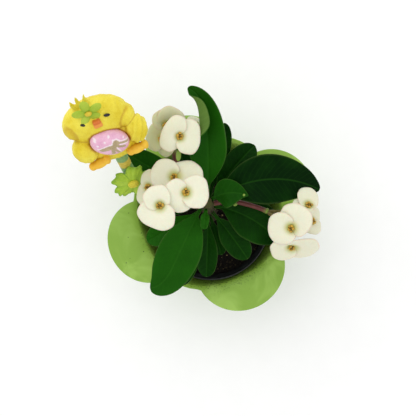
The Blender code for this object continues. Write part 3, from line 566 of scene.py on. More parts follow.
def leafSkin(name, deep, mid, pale, roughness, veinStrength):
    # living leaf: a waxy cuticle over deep green, with a paler midrib, faint side veins and a thin pale margin
    skin, tree, shader = startMaterial(name, {"Roughness": roughness, "Specular IOR Level": 0.04})
    coords = addNode(tree, "TexCoord")
    at = coords.outputs["Object"]
    chart = addNode(tree, "SeparateXYZ", inputs={0: coords.outputs["UV"]})
    across = addNode(tree, "Math", {"operation": "ABSOLUTE"}, {0: chart.outputs["Y"]})
    wander = addNode(tree, "TexNoise", inputs={"Vector": at, "Scale": 1 / (7 * mm), "Detail": 2})
    lean = addNode(tree, "Math", {"operation": "MULTIPLY_ADD"},
                   {0: across.outputs[0], 1: -leafDetail["veinLean"], 2: chart.outputs["X"]})
    wavy = addNode(tree, "Math", {"operation": "MULTIPLY_ADD"},
                   {0: wander.outputs["Fac"], 1: 0.25, 2: lean.outputs[0]})
    step = addNode(tree, "Math", {"operation": "DIVIDE"},
                   {0: wavy.outputs[0], 1: leafDetail["veinSpacing"] / chartUnit})
    vein = addNode(tree, "Math", {"operation": "PINGPONG"}, {0: step.outputs[0], 1: 0.5})
    veinLine = addNode(tree, "MapRange", {"interpolation_type": "SMOOTHSTEP"},
                       {"Value": vein.outputs[0], "From Min": 0, "From Max": 0.13, "To Min": veinStrength,
                        "To Max": 0})
    midrib = addNode(tree, "MapRange", {"interpolation_type": "SMOOTHSTEP"},
                     {"Value": across.outputs[0], "From Min": 0.01, "From Max": 0.12, "To Min": 0.2, "To Max": 0})
    lines = addNode(tree, "Math", {"operation": "MAXIMUM"}, {0: veinLine.outputs[0], 1: midrib.outputs[0]})
    tone = addNode(tree, "Attribute", {"attribute_name": "tone"})
    edge = addNode(tree, "Attribute", {"attribute_name": "edge"})
    cloud = addNode(tree, "TexNoise", inputs={"Vector": at, "Scale": 1 / (16 * mm), "Detail": 4})
    shade = addNode(tree, "Math", {"operation": "MULTIPLY_ADD"},
                    {0: cloud.outputs["Fac"], 1: 0.5, 2: tone.outputs["Fac"]})
    depth = addNode(tree, "MapRange", inputs={"Value": shade.outputs[0], "From Min": 0.2, "From Max": 1.3})
    body = addNode(tree, "Mix", {"data_type": "RGBA"},
                   {0: depth.outputs[0], 6: colour(deep), 7: colour(mid)})
    veined = addNode(tree, "Mix", {"data_type": "RGBA"},
                     {0: lines.outputs[0], 6: body.outputs[2], 7: colour(pale)})
    rimmed = addNode(tree, "MapRange", {"interpolation_type": "SMOOTHSTEP"},
                     {"Value": edge.outputs["Fac"], "From Min": 0.93, "From Max": 1, "To Max": 0.18})
    last = addNode(tree, "Mix", {"data_type": "RGBA"},
                   {0: rimmed.outputs[0], 6: veined.outputs[2], 7: colour("#5f7a3a")})
    pores = addNode(tree, "TexNoise", inputs={"Vector": at, "Scale": 1 / (0.9 * mm), "Detail": 3})
    relief = addNode(tree, "Math", {"operation": "MULTIPLY_ADD"},
                     {0: veinLine.outputs[0], 1: -1.5, 2: pores.outputs["Fac"]})
    bump = addNode(tree, "Bump", inputs={"Strength": 0.25, "Distance": 0.25 * mm, "Height": relief.outputs[0]})
    tree.links.new(last.outputs[2], shader.inputs["Base Color"])
    tree.links.new(bump.outputs[0], shader.inputs["Normal"])
    return skin


def leafStart(leaf):
    out = heading(leaf.get("side", leaf["az"]))
    if leaf.get("branch"):
        bend, tip = branchBend(), Vector(stem["branchTop"])
        share = (leaf["base"] - bend.z) / (tip.z - bend.z)
        return bend.lerp(tip, share) + out * (stem["branchRadii"][0] + 0.3)
    return stemPoint(leaf["base"]) + out * (stemRadius(leaf["base"]) + 0.7)


def leafFrames(leaf, steps):
    points, ways = [leafStart(leaf)], []
    hookFrom = leafDetail["hookFrom"]
    for step in range(steps):
        share = (step + 0.5) / steps
        az = leaf["az"] + leaf["sweep"] * share + leaf["hook"] * max(0, (share - hookFrom) / (1 - hookFrom)) ** 2
        way = heading(az, leaf["lift"] + (leaf["droop"] - leaf["lift"]) * share)
        ways.append(way)
        points.append(points[-1] + way * (leaf["length"] / steps))
    ways.append(ways[-1])
    frames = []
    for step, (point, way) in enumerate(zip(points, ways)):
        side = way.cross(up).normalized()
        turn = math.radians(leaf["roll"] + leaf["twist"] * (step / steps - 0.5))
        across = side * math.cos(turn) + side.cross(way) * math.sin(turn)
        frames.append((point, across, across.cross(way)))
    return frames


def leafHalf(leaf, share):
    # narrow stalk, long swelling, blunt or pointed tip
    if share < leaf["widest"]:
        part = max(0, (share - leafDetail["stalkShare"]) / (leaf["widest"] - leafDetail["stalkShare"]))
        width = math.sin(part * math.pi / 2) ** leaf["rise"]
    else:
        part = (share - leaf["widest"]) / (1 - leaf["widest"])
        width = math.sqrt(max(0, 1 - part ** leaf["blunt"])) * (1 - leaf["point"] * part ** 2)
    return max(leaf["half"] * width, leafDetail["stalkHalf"] if share < 0.5 else leafDetail["tipHalf"])


def makeLeaf(number, given, skins):
    leaf = {**leafUsual, **given}
    steps = leafDetail["steps"]
    frames = leafFrames(leaf, steps)

    def place(u, v):
        # rows lie closer together towards the tip, where the outline turns fastest
        share = 1 - (1 - u) ** leafDetail["crowding"]
        at = share * steps
        low = min(int(at), steps - 1)
        point = frames[low][0].lerp(frames[low + 1][0], at - low)
        across = frames[low][1].lerp(frames[low + 1][1], at - low)
        face = frames[low][2].lerp(frames[low + 1][2], at - low)
        half = leafHalf(leaf, share)
        side = 1 - 2 * v
        fold = leaf["fold"]
        if side < 0:
            fold += leaf["curl"] * math.exp(-((share - leaf["curlAt"]) / leafDetail["curlSpan"]) ** 4)
        fold = math.radians(fold)
        reach = abs(side)
        ripple = leaf["wave"] * math.sin(2 * math.pi * leaf["waves"] * share + (1.3 if side > 0 else 0))
        ripple *= side * side * min(1, 1.3 * half / leaf["half"])
        breadth = reach * half
        groove = leafDetail["grooveDepth"] * math.exp(-(breadth / leafDetail["grooveWidth"]) ** 2)
        groove *= min(1, half / 3)
        veinAt = (share * leaf["length"] - breadth * leafDetail["veinLean"]) / leafDetail["veinSpacing"]
        puff = leafDetail["puff"] * abs(math.sin(math.pi * veinAt)) * min(1, half / 6) * (1 - side ** 4)
        sideways = side * half * math.cos(fold * reach)
        rise = breadth * math.sin(fold * reach ** 0.8)
        return point + across * sideways + face * (rise + ripple + puff - groove)

    def chart(u, v):
        share = 1 - (1 - u) ** leafDetail["crowding"]
        return share * leaf["length"] / chartUnit, (1 - 2 * v) * leafHalf(leaf, share) / chartUnit

    marks = {"tone": lambda u, v: leaf["tone"] - 0.15 * u + 0.1 * (1 - 2 * v) ** 2,
             "edge": lambda u, v: max(abs(1 - 2 * v), smooth(0.97, 1, u))}
    shape = startShape("tone", "edge")
    addSheet(shape, steps, leafDetail["cells"], place, marks, chart)
    blade = finishPiece(f"leaf{number:02d}", shape, skins, [f"leaf_{number:02d}"], outward=False)
    addWall(blade, leafDetail["thickness"], 0, underside=1)


def makeLeaves():
    skins = [leafSkin("waxy euphorbia leaf", "#021f02", "#1f5c0a", "#34701c", 0.46, 0.05),
             leafSkin("leaf underside", "#416424", "#5f7c38", "#7f9656", 0.6, 0.1)]
    for number, leaf in enumerate(leaves, 1):
        makeLeaf(number, leaf, skins)


# Blooms: place, the way each faces (az, el), which side of a bract lies over its twin, how far the bracts
# rise like a cup, how grey-green they are (a painted shade for blooms in shadow, partly their age), and each bract's
# heading, length and half width
blooms = {
    "a": (
        ((-37.4, 6.5, 191), (-110, 78), 1, 0.2, 0.0, ((105, 15.2, 9.8), (252, 17.8, 14.4))),
        ((-18.5, 16.2, 187), (-30, 76), -1, 0.2, 0.0, ((3, 17.4, 12.2), (204, 15.4, 13.0))),
        ((-27.5, 27.9, 176), (90, 76), -1, 0.2, 0.1, ((163, 18.0, 11.2), (4, 22.0, 12.0))),
        ((-47.3, 20.4, 170.5), (180, 60), 1, 0.2, 0.25, ((62, 14.0, 7.6), (254, 14.8, 9.5))),
    ),
    "b": (
        ((-23.2, 58.5, 181.5), (-60, 74), -1, 0.2, 0.1, ((-4, 15.8, 13.0), (156, 13.6, 14.4))),
        ((-37.0, 57.5, 170), (205, 52), 1, 0.2, 0.7, ((172, 14.4, 10.6), (-52, 14.0, 9.5))),
        ((-33.8, 67.6, 174.8), (-90, 66), 1, 0.2, 0.55, ((116, 12.6, 7.6), (50, 16.0, 11.0))),
        ((-16.8, 69.6, 165.2), (80, 34), 1, 0.2, 0.4, ((0, 9.6, 10.4), (180, 9.0, 9.0))),
    ),
    "c": (
        ((62.7, -10.8, 166), (-150, 70), -1, 0.2, 0.05, ((187, 18.0, 13.0), (60, 19.8, 13.0))),
        ((76.6, 6.3, 161), (80, 65), 1, 0.2, 0.15, ((90, 15.2, 8.4), (200, 12.5, 8.0))),
        ((80.6, -6.0, 151), (12, 50), 1, 0.2, 0.15, ((68, 13.2, 8.6), (258, 10.5, 9.0))),
        ((64.5, -26.3, 153), (-90, 42), 1, 0.2, 0.1, ((205, 17.0, 11.0), (12, 21.5, 14.0))),
    ),
}
bractShape = {
    "middle": 0.42,
    "back": 0.24,
    "notch": 0.3,
    "lean": 0.14,
    "frontRound": 0.91,
    "backRound": 0.75,
    "sideRound": 0.9,
    "notchWidth": 0.3,
    "cupReach": 0.42,
    "droop": 0.09,
}
bloomDetail = {
    "thickness": 0.6,
    "rings": 18,
    "points": 72,
    "cupRadius": 2.3,
    "cupBelow": 2.6,
    "cupAbove": 1.5,
    "glandRing": 1.9,
    "glandHeight": 1.9,
}


def waxyBract():
    # bract of the flower head: ivory and faintly velvety, flushed pink along its thin edge and lime at the throat
    bract, tree, shader = startMaterial("ivory bract", {"Roughness": 0.6, "Specular IOR Level": 0.25,
                                                        "Subsurface Weight": 0.12, "Subsurface Scale": 1.5 * mm,
                                                        "Sheen Weight": 0.1, "Sheen Roughness": 0.5})
    at = addNode(tree, "TexCoord").outputs["Object"]
    edge = addNode(tree, "Attribute", {"attribute_name": "edge"})
    throat = addNode(tree, "Attribute", {"attribute_name": "throat"})
    tone = addNode(tree, "Attribute", {"attribute_name": "tone"})
    chart = addNode(tree, "TexCoord")
    rays = addNode(tree, "Mapping", inputs={"Vector": chart.outputs["UV"], "Scale": (2, 60, 1)})
    veins = addNode(tree, "TexNoise", inputs={"Vector": rays.outputs[0], "Scale": 1, "Detail": 3})
    ivory = addNode(tree, "Mix", {"data_type": "RGBA"},
                    {0: veins.outputs["Fac"], 6: colour("#e0dfc4"), 7: colour("#efeed9")})
    # painted shade: blooms lying in shadow are greyed towards olive by their tone, which also stands for their greener
    # age
    shadedAndAged = addNode(tree, "Mix", {"data_type": "RGBA"},
                   {0: tone.outputs["Fac"], 6: ivory.outputs[2], 7: colour("#aeb37c")})
    limed = addNode(tree, "Mix", {"data_type": "RGBA"},
                    {0: throat.outputs["Fac"], 6: shadedAndAged.outputs[2], 7: colour("#b9bd5c")})
    rim = addNode(tree, "MapRange", {"interpolation_type": "SMOOTHSTEP"},
                  {"Value": edge.outputs["Fac"], "From Min": 0.9, "From Max": 1, "To Max": 0.4})
    flushed = addNode(tree, "Mix", {"data_type": "RGBA"},
                      {0: rim.outputs[0], 6: limed.outputs[2], 7: colour("#e0bfae")})
    bump = addNode(tree, "Bump", inputs={"Strength": 0.15, "Distance": 0.2 * mm, "Height": veins.outputs["Fac"]})
    tree.links.new(flushed.outputs[2], shader.inputs["Base Color"])
    tree.links.new(bump.outputs[0], shader.inputs["Normal"])
    return bract


def nectarGland():
    # nectar glands: waxy golden yellow, browner in their folds
    gland, tree, shader = startMaterial("golden nectar gland", {"Roughness": 0.35, "Specular IOR Level": 0.5})
    at = addNode(tree, "TexCoord").outputs["Object"]
    fold = addNode(tree, "TexNoise", inputs={"Vector": at, "Scale": 1 / (1.2 * mm), "Detail": 3})
    tone = addNode(tree, "Attribute", {"attribute_name": "tone"})
    gold = addNode(tree, "Mix", {"data_type": "RGBA"},
                   {0: fold.outputs["Fac"], 6: colour("#a8760f"), 7: colour("#d9b43a")})
    last = addNode(tree, "Mix", {"data_type": "RGBA"},
                   {0: tone.outputs["Fac"], 6: gold.outputs[2], 7: colour("#5d4a14")})
    tree.links.new(last.outputs[2], shader.inputs["Base Color"])
    return gland


def bloomAxes(bloom, toward):
    # the bract's own way out, across and up, from its heading in the picture
    normal = heading(*bloom[1])
    out = heading(toward)
    out = (out - normal * out.dot(normal)).normalized()
    return out, normal.cross(out), normal


def bractPoint(bloom, which, reach, turn):
    # a broad disc drawn out from the middle, notched at its base, cupped and tilted like a propeller blade
    toward, length, width = bloom[5][which]
    out, across, normal = bloomAxes(bloom, toward)
    front, side = math.cos(turn), math.sin(turn)
    if front > 0:
        along = bractShape["middle"] + reach * (1 - bractShape["middle"]) * front ** bractShape["frontRound"]
    else:
        along = bractShape["middle"] - reach * (bractShape["middle"] + bractShape["back"]) \
            * (-front) ** bractShape["backRound"]
    aside = reach * math.copysign(abs(side) ** bractShape["sideRound"], side) * (1 + 0.05 * front)
    along += bractShape["notch"] * math.exp(-(aside / bractShape["notchWidth"]) ** 2) * reach * reach * max(0, -front)
    along, aside = along * length, aside * width
    away = math.hypot(along, aside) / length
    rise = bloom[3] * length * (1 - math.exp(-(away / bractShape["cupReach"]) ** 2))
    rise -= bractShape["droop"] * length * away ** 3
    lean = bractShape["lean"] * aside * bloom[2]
    return Vector(bloom[0]) + out * along + across * aside + normal * (rise + lean), away, normal


def addBract(shape, bloom, which, seed):
    length = bloom[5][which][1]

    def place(u, v):
        turn = 2 * math.pi * v
        frill = 1 + 0.018 * math.sin(3 * turn + seed) + 0.012 * math.sin(7 * turn + 2 * seed)
        point, away, normal = bractPoint(bloom, which, u * frill, turn)
        return point + normal * length * (0.012 * u ** 3 * math.sin(4 * turn + seed) - 0.045 * u ** 10)

    marks = {"edge": lambda u, v: u, "tone": bloom[4],
             "throat": lambda u, v: 0.95 * (1 - smooth(0.1, 0.42, bractPoint(bloom, which, u, 2 * math.pi * v)[1]))}
    addSheet(shape, bloomDetail["rings"], bloomDetail["points"], place, marks)


def makeBloom(name, bloom, number, bractMaterial, glandMaterial):
    shape = startShape("edge", "throat", "tone")
    for which in (0, 1):
        addBract(shape, bloom, which, number * 1.7 + which * 2.3)
    pair = finishPiece(name, shape, [bractMaterial], ["bloom_" + name[5:].lower()], outward=False)
    addWall(pair, bloomDetail["thickness"], 0)
    out, across, normal = bloomAxes(bloom, bloom[5][0][0])
    centre = Vector(bloom[0])
    seated = Matrix.Translation(centre) @ Matrix((out, across, normal)).transposed().to_4x4()
    shape = startShape("tone")
    cup = [centre - normal * bloomDetail["cupBelow"], centre, centre + normal * bloomDetail["cupAbove"]]
    addTube(shape, cup, lambda share: bloomDetail["cupRadius"] * (0.6 + 0.4 * share), 20, 8, {"tone": 0.85})
    rng = random.Random(number)
    seam = bloom[2] * -90
    for lobe, towards in enumerate((seam, seam + 70, seam + 145, seam + 215, seam + 290)):
        turn = Matrix.Rotation(math.radians(towards + rng.uniform(-8, 8)), 4, "Z")
        seat = Matrix.Translation((bloomDetail["glandRing"] + (0.7 if lobe == 0 else 0), 0, bloomDetail["glandHeight"]))
        size = rng.uniform(0.85, 1.15)
        lean = Matrix.Rotation(math.radians(20), 4, "Y")
        addBall(shape, seated @ turn @ seat @ lean, (1.0 * size, 1.25 * size, 0.6), {"tone": rng.uniform(0.0, 0.3)},
                14, 10)
    for stamen in range(6):
        spot = Matrix.Rotation(math.radians(60 * stamen), 4, "Z") @ Matrix.Translation((0.7, 0, 2.2))
        addBall(shape, seated @ spot, (0.4, 0.4, 0.6), {"tone": 0.3 if stamen % 2 else 0.9}, 8, 6)
    addBall(shape, seated @ Matrix.Translation((0, 0, 1.0)), (1.9, 1.9, 1.0), {"tone": 1.0}, 16, 10)
    finishPiece(name + "Centre", shape, [glandMaterial], ["bloom_" + name[5:].lower() + "_centre"],
                outward=False)


# Flower stalks, each with one thin stalk to every bloom, small scale leaves and buds at the forks
stalks = {
    "a": {"height": 150, "side": 140, "route": ((-15.5, 13, 156.5), (-25, 8.5, 163))},
    "b": {"route": ((-26, 33, 157), (-28.5, 50, 162))},
    "c": {"height": 146, "side": 10, "route": ((14, 10, 149), (23, 9, 150.5), (36, 5.5, 151.5), (45, 2, 152))},
}
stalkDetail = {
    "radii": (2.1, 1.8),
    "pedicelRadius": 0.9,
    "scales": {
        "a": (((-30.0, 3.0, 160), 200, (1.6, 1.0, 0.7)),),
        "b": (((-30.5, 68.4, 179), 130, (2.3, 1.4, 0.4)), ((-10.6, 67.8, 179), 50, (2.3, 1.4, 0.4)),
              ((-24.2, 44.6, 176), -93, (4.6, 2.0, 0.5))),
        "c": (((-5.7, -4.9, 157), 0, (1.3, 1.1, 1.2)), ((15.5, 8.0, 155), 20, (1.3, 1.0, 1.0)),
              ((19.8, 7.2, 155), 20, (1.8, 1.2, 1.2)), ((25.6, 14.4, 175.0), 60, (1.0, 0.9, 0.8)),
              ((45.0, 2.2, 152.5), 70, (2.5, 1.1, 2.0))),
    },
}


def stalkSkin():
    # smooth young stalk: dull wine red, greener where it forks and towards the blooms
    skin, tree, shader = startMaterial("wine-red stalk", {"Roughness": 0.45, "Specular IOR Level": 0.35})
    at = addNode(tree, "TexCoord").outputs["Object"]
    fleck = addNode(tree, "TexNoise", inputs={"Vector": at, "Scale": 1 / (3 * mm), "Detail": 4})
    tone = addNode(tree, "Attribute", {"attribute_name": "tone"})
    red = addNode(tree, "Mix", {"data_type": "RGBA"},
                  {0: fleck.outputs["Fac"], 6: colour("#4a1f1e"), 7: colour("#7a4038")})
    last = addNode(tree, "Mix", {"data_type": "RGBA"},
                   {0: tone.outputs["Fac"], 6: red.outputs[2], 7: colour("#7f9a3c")})
    tree.links.new(last.outputs[2], shader.inputs["Base Color"])
    return skin


def makeStalk(key, material):
    given = stalks[key]
    if "side" in given:
        way = heading(given["side"], 8)
        start = stemPoint(given["height"]) + way * (stemRadius(given["height"]) + 0.7)
    else:
        way = (Vector(stem["branchTop"]) - branchBend()).normalized()
        start = Vector(stem["branchTop"]) + way * 0.3
    route = [start, start + way * 3] + [Vector(point) for point in given["route"]]
    shape = startShape("tone")
    wide, thin = stalkDetail["radii"]
    addTube(shape, route, lambda share: wide + (thin - wide) * share + 0.35 * smooth(0.9, 1, share), 16, 60,
            {"tone": lambda u, v: 0.75 * smooth(0.9, 1, v) + 0.4 * (1 - smooth(0, 0.08, v))})
    fork = route[-1]
    for bloom in blooms[key]:
        normal = heading(*bloom[1])
        top = Vector(bloom[0]) - normal * (bloomDetail["cupBelow"] + 0.5)
        below = top - normal * (0.22 * (top - fork).length)
        bend = fork.lerp(below, 0.6)
        addTube(shape, [fork, bend, below.lerp(bend, 0.3), top],
                lambda share: stalkDetail["pedicelRadius"] + 0.3 * (1 - smooth(0, 0.15, share))
                + 0.5 * smooth(0.85, 1, share), 12, 30,
                {"tone": lambda u, v: 0.25 + 0.5 * v})
    for place, toward, sizes in stalkDetail["scales"][key]:
        leaf = Matrix.Translation(place) @ Matrix.Rotation(math.radians(toward), 4, "Z")
        addBall(shape, leaf, sizes, {"tone": 1.0}, 16, 10)
    finishPiece("flowerStalk" + key.upper(), shape, [material], ["flower_stalk_" + key])


# Chick pick: a painted moulding in its own frame, right, up the stick and out of its face
chick = {
    "centre": (-74.7, 60.5, 197.0),
    "right": (0.924, 0.378, 0.0),
    "facing": (0.301, -0.735, 0.606),
    "voxel": 0.5,
    "feetVoxel": 0.45,
    "forms": (
        ((-3.5, 16, 0), (24.5, 17, 13.5), 0),
        ((0, -5.5, 0), (25, 20.5, 12.5), 0),
        ((-20, -2, 7), (9.0, 10.5, 9.5), 12),
        ((20, -1, 7), (8.5, 11.5, 9.0), -12),
        ((15, 12, 2), (9, 8, 9), 0),
        ((-20, 16, 1), (8, 9, 9), 0),
    ),
    "egg": ((-0.7, 2.0, 12.8), (14.4, 10.8, 7.6), -34),
    "eyes": ((6.0, 25.3, 11.6), (-11.6, 24.0, 10.7)),
    "beak": (-2.4, 22.7, 12.6),
    "flower": (-5.0, 31.8, 9.9),
    "sleeveTop": -22.0,
    "sleeveBottom": -50.0,
    "sleeveRadius": 4.8,
    "stickRadius": 1.6,
    "stickAtSoil": (-41.4, -20.7, 82.0),
    "stickDepth": 15,
    "tufts": ((-10.8, 26, 9.5), (-7.2, 14, 11), (-3.6, 0, 11)),
    "tuftRoot": 30.5,
    "tuftRadius": 2.8,
    "eyeLeans": (-14, -26),
    "eyeSizes": (2.3, 1.15, 1.0),
    "feet": (15, -15.5, 11.5),
    "footTurn": 4,
    "footForms": ((0, (7.2, 3.4, 4.0)), (6.2, (2.6, 3.9, 3.6)), (-5.5, (3.0, 3.1, 3.4))),
    "beakForms": ((1.1, (2.8, 1.5, 2.0), 0.6), (-1.2, (3.1, 1.9, 2.1), 0.0)),
    "petalSizes": (5.0, 3.3, 1.3),
    "petalOut": 6.2,
}


def chickMatrix(right=0.0, top=0.0, out=0.0, turn=0.0):
    x = Vector(chick["right"]).normalized()
    z = Vector(chick["facing"]).normalized()
    y = z.cross(x)
    origin = Vector(chick["centre"]) + x * right + y * top + z * out
    turned = Matrix((x, y, z)).transposed().to_4x4()
    return Matrix.Translation(origin) @ turned @ Matrix.Rotation(math.radians(turn), 4, "Z")


def paintedResin(name, shadow, body, light, strokes, roughness):
    # cast resin painted by hand: the brush leaves streaks, paler on the high spots, and the hollow mark darkens it
    # towards the shadow colour (on the body a painted shade in its creases)
    resin, tree, shader = startMaterial(name, {"Roughness": roughness, "Specular IOR Level": 0.3})
    at = addNode(tree, "TexCoord").outputs["Object"]
    turned = addNode(tree, "Mapping", {"vector_type": "TEXTURE"},
                     {"Vector": at, "Location": Vector(chick["centre"]) * mm,
                      "Rotation": chickMatrix().to_euler(), "Scale": (1, 0.25, 1)})
    brush = addNode(tree, "TexNoise", inputs={"Vector": turned.outputs[0], "Scale": 1 / (strokes * mm),
                                              "Detail": 5, "Distortion": 0.6})
    cloud = addNode(tree, "TexNoise", inputs={"Vector": at, "Scale": 1 / (11 * mm), "Detail": 3})
    mixed = addNode(tree, "Math", {"operation": "MULTIPLY_ADD"},
                    {0: brush.outputs["Fac"], 1: 0.6, 2: cloud.outputs["Fac"]})
    stroke = addNode(tree, "MapRange", inputs={"Value": mixed.outputs[0], "From Min": 0.58, "From Max": 1.0})
    painted = addNode(tree, "Mix", {"data_type": "RGBA"},
                      {0: stroke.outputs[0], 6: colour(body), 7: colour(light)})
    hollow = addNode(tree, "Attribute", {"attribute_name": "hollow"})
    last = addNode(tree, "Mix", {"data_type": "RGBA"},
                   {0: hollow.outputs["Fac"], 6: painted.outputs[2], 7: colour(shadow)})
    bump = addNode(tree, "Bump", inputs={"Strength": 0.5, "Distance": 0.35 * mm, "Height": brush.outputs["Fac"]})
    tree.links.new(last.outputs[2], shader.inputs["Base Color"])
    tree.links.new(bump.outputs[0], shader.inputs["Normal"])
    return resin


def fuse(shape, voxel, rounds):
    # run overlapping forms together, as clay is, and hand back one closed shape
    mesh = bpy.data.meshes.new("clay")
    shape.to_mesh(mesh)
    shape.free()
    clay = bpy.data.objects.new("clay", mesh)
    bpy.context.scene.collection.objects.link(clay)
    remesh = clay.modifiers.new("fuse", "REMESH")
    remesh.mode = "VOXEL"
    remesh.voxel_size = voxel * mm
    graph = bpy.context.evaluated_depsgraph_get()
    fused = bpy.data.meshes.new_from_object(clay.evaluated_get(graph))
    bpy.data.objects.remove(clay, do_unlink=True)
    made = bmesh.new()
    made.from_mesh(fused)
    made.verts.layers.float.new("hollow")
    for _ in range(rounds):
        bmesh.ops.smooth_vert(made, verts=made.verts, factor=0.5, use_axis_x=True, use_axis_y=True, use_axis_z=True)
    return made


def makeChickBody():
    shape = startShape()
    for (right, top, out), sizes, turn in chick["forms"]:
        addBall(shape, chickMatrix(right, top, out, turn), sizes, None, 48, 32)
    for right, lean, length in chick["tufts"]:
        root = chickMatrix(right, chick["tuftRoot"], 1, lean)
        tip = root @ Vector((0.8, length, 0))
        addTube(shape, [root @ Vector((0, 0, 0)), root @ Vector((-0.4, length * 0.5, 0)), tip],
                lambda share: chick["tuftRadius"] * (1 - share) + 0.35, 14, 10)
    addForm(shape, "cone", chickMatrix(0, -19, 0) @ Matrix.Rotation(math.radians(90), 4, "X"),
            cap_ends=True, segments=32, radius1=6, radius2=5.2, depth=12)
    body = fuse(shape, chick["voxel"], 2)
    body.normal_update()
    hollow = body.verts.layers.float["hollow"]
    toChick = chickMatrix().inverted()
    eggAt, eggSize, eggTurn = chick["egg"]
    toEgg = (chickMatrix(*eggAt, eggTurn) @ Matrix.Diagonal((*eggSize, 1))).inverted()
    toForms = [(chickMatrix(*at, turn) @ Matrix.Diagonal((*sizes, 1))).inverted() for at, sizes, turn in chick["forms"]]
    for corner in body.verts:
        spot = toChick @ (corner.co / mm)
        around = Vector((spot.x / 1.6, spot.y / 5.5, spot.z / 1.6))
        stroke = noise.noise(around) * 0.42 + noise.noise(around * 2.3) * 0.18
        if spot.x > 12 and spot.y < 9:
            stroke += 0.5 * math.sin((spot.x - 0.55 * spot.y) * 1.25) * smooth(12, 15, spot.x)
        # painted shade: the hollow mark darkens the creases between the forms and the ring where the body meets the egg
        seat = (toEgg @ (corner.co / mm)).length
        near = sorted((form @ (corner.co / mm)).length for form in toForms)
        creaseShade = 0.4 * (1 - smooth(0.01, 0.09, near[1] - near[0])) * smooth(1, 6, spot.z)
        corner[hollow] = max((1 - smooth(1.02, 1.2, seat)) * smooth(0, 4, spot.z) * 0.85, creaseShade)
        corner.co += corner.normal * stroke * mm
    finishPiece("chickBody", body, [paintedResin("yellow painted resin", "#a2560c", "#dcc420", "#f0e24e", 0.9,
                                                 0.55)], ["chick_figure"])


# Marks painted on the egg, in its own frame (mm): white dots with radii, white lines, sanded arms with half widths
eggMarks = {
    "dots": ((-4.0, 8.2, 0.85), (-6.1, 4.1, 0.75), (-12.6, 3.4, 0.9), (-12.4, 2.2, 0.8), (-10.0, -0.4, 0.8),
             (7.2, 7.9, 0.7)),
    "lines": (((-9.0, -3.4), (-6.9, -1.1), (-3.7, 2.0), (-1.0, 3.2), (-0.7, 6.5), (1.7, 7.4), (4.5, 6.2),
               (11.3, 6.2)),
              ((5.4, 3.6), (11.5, 3.8)),
              ((3.4, 1.2), (8.6, -3.8))),
    "arms": (((-6.2, -2.6), (-1.5, 0.3), 1.9), ((0.8, 0.4), (1.8, 4.4), 2.5), ((1.5, 4.8), (11.0, 5.0), 0.75),
             ((2.0, 2.2), (9.4, 1.7), 0.9), ((1.5, 0.2), (6.9, -4.0), 0.8), ((0.8, 0.0), (2.8, -4.8), 1.3)),
}


def reach(spot, start, end):
    # distance from a spot to a straight stroke
    way = end - start
    share = min(max((spot - start).dot(way) / way.length_squared, 0), 1)
    return (spot - start - way * share).length


def glitterEgg():
    # egg painted pink with fine glitter, white marks, and beige where it is sanded
    egg, tree, shader = startMaterial("pink glitter glaze", {"Roughness": 0.28, "Specular IOR Level": 0.4,
                                                             "Coat Weight": 0.3, "Coat Roughness": 0.2})
    at = addNode(tree, "TexCoord").outputs["Object"]
    spark = addNode(tree, "TexVoronoi", inputs={"Vector": at, "Scale": 1 / (0.7 * mm)})
    cloud = addNode(tree, "TexNoise", inputs={"Vector": at, "Scale": 1 / (5 * mm), "Detail": 3})
    mottled = addNode(tree, "Math", {"operation": "MULTIPLY_ADD"},
                      {0: spark.outputs["Distance"], 1: 0.5, 2: cloud.outputs["Fac"]})
    pink = addNode(tree, "Mix", {"data_type": "RGBA"},
                   {0: mottled.outputs[0], 6: colour("#cf83b0"), 7: colour("#ecbcd2")})
    sanded = addNode(tree, "Mix", {"data_type": "RGBA"},
                     {0: mottled.outputs[0], 6: colour("#7f6a3c"), 7: colour("#bda983")})
    patch = addNode(tree, "Attribute", {"attribute_name": "sanded"})
    white = addNode(tree, "Attribute", {"attribute_name": "white"})
    patched = addNode(tree, "Mix", {"data_type": "RGBA"},
                      {0: patch.outputs["Fac"], 6: pink.outputs[2], 7: sanded.outputs[2]})
    last = addNode(tree, "Mix", {"data_type": "RGBA"},
                   {0: white.outputs["Fac"], 6: patched.outputs[2], 7: colour("#f3e6ea")})
    bump = addNode(tree, "Bump", inputs={"Strength": 0.4, "Distance": 0.15 * mm, "Height": spark.outputs["Distance"]})
    tree.links.new(last.outputs[2], shader.inputs["Base Color"])
    tree.links.new(bump.outputs[0], shader.inputs["Normal"])
    return egg


def makeEgg():
    eggAt, sizes, turn = chick["egg"]
    shape = startShape("white", "sanded")
    corners = addBall(shape, chickMatrix(*eggAt, turn), sizes, {"white": 0.0, "sanded": 0.0}, 180, 120)
    toEgg = chickMatrix(*eggAt, turn).inverted()
    white, sanded = shape.verts.layers.float["white"], shape.verts.layers.float["sanded"]
    for corner in corners:
        spot = toEgg @ (corner.co / mm)
        if spot.z < 0:
            continue
        ragged = noise.noise(spot * 1.1) * 0.35 + noise.noise(spot * 2.9) * 0.2
        flat = spot.to_2d()
        dots = min((flat - Vector(dot[:2])).length - dot[2] for dot in eggMarks["dots"])
        lines = min(reach(flat, Vector(a), Vector(b)) for line in eggMarks["lines"] for a, b in zip(line, line[1:]))
        arms = min(reach(flat, Vector(a), Vector(b)) - width for a, b, width in eggMarks["arms"])
        corner[white] = 0.9 * max(1 - smooth(-0.3, 0.3, dots + ragged * 0.6), 1 - smooth(0.2, 0.65, lines + ragged))
        corner[sanded] = 1 - smooth(-0.15, 0.35, arms + ragged * 1.4)
    finishPiece("chickEgg", shape, [glitterEgg()], ["chick_figure"])


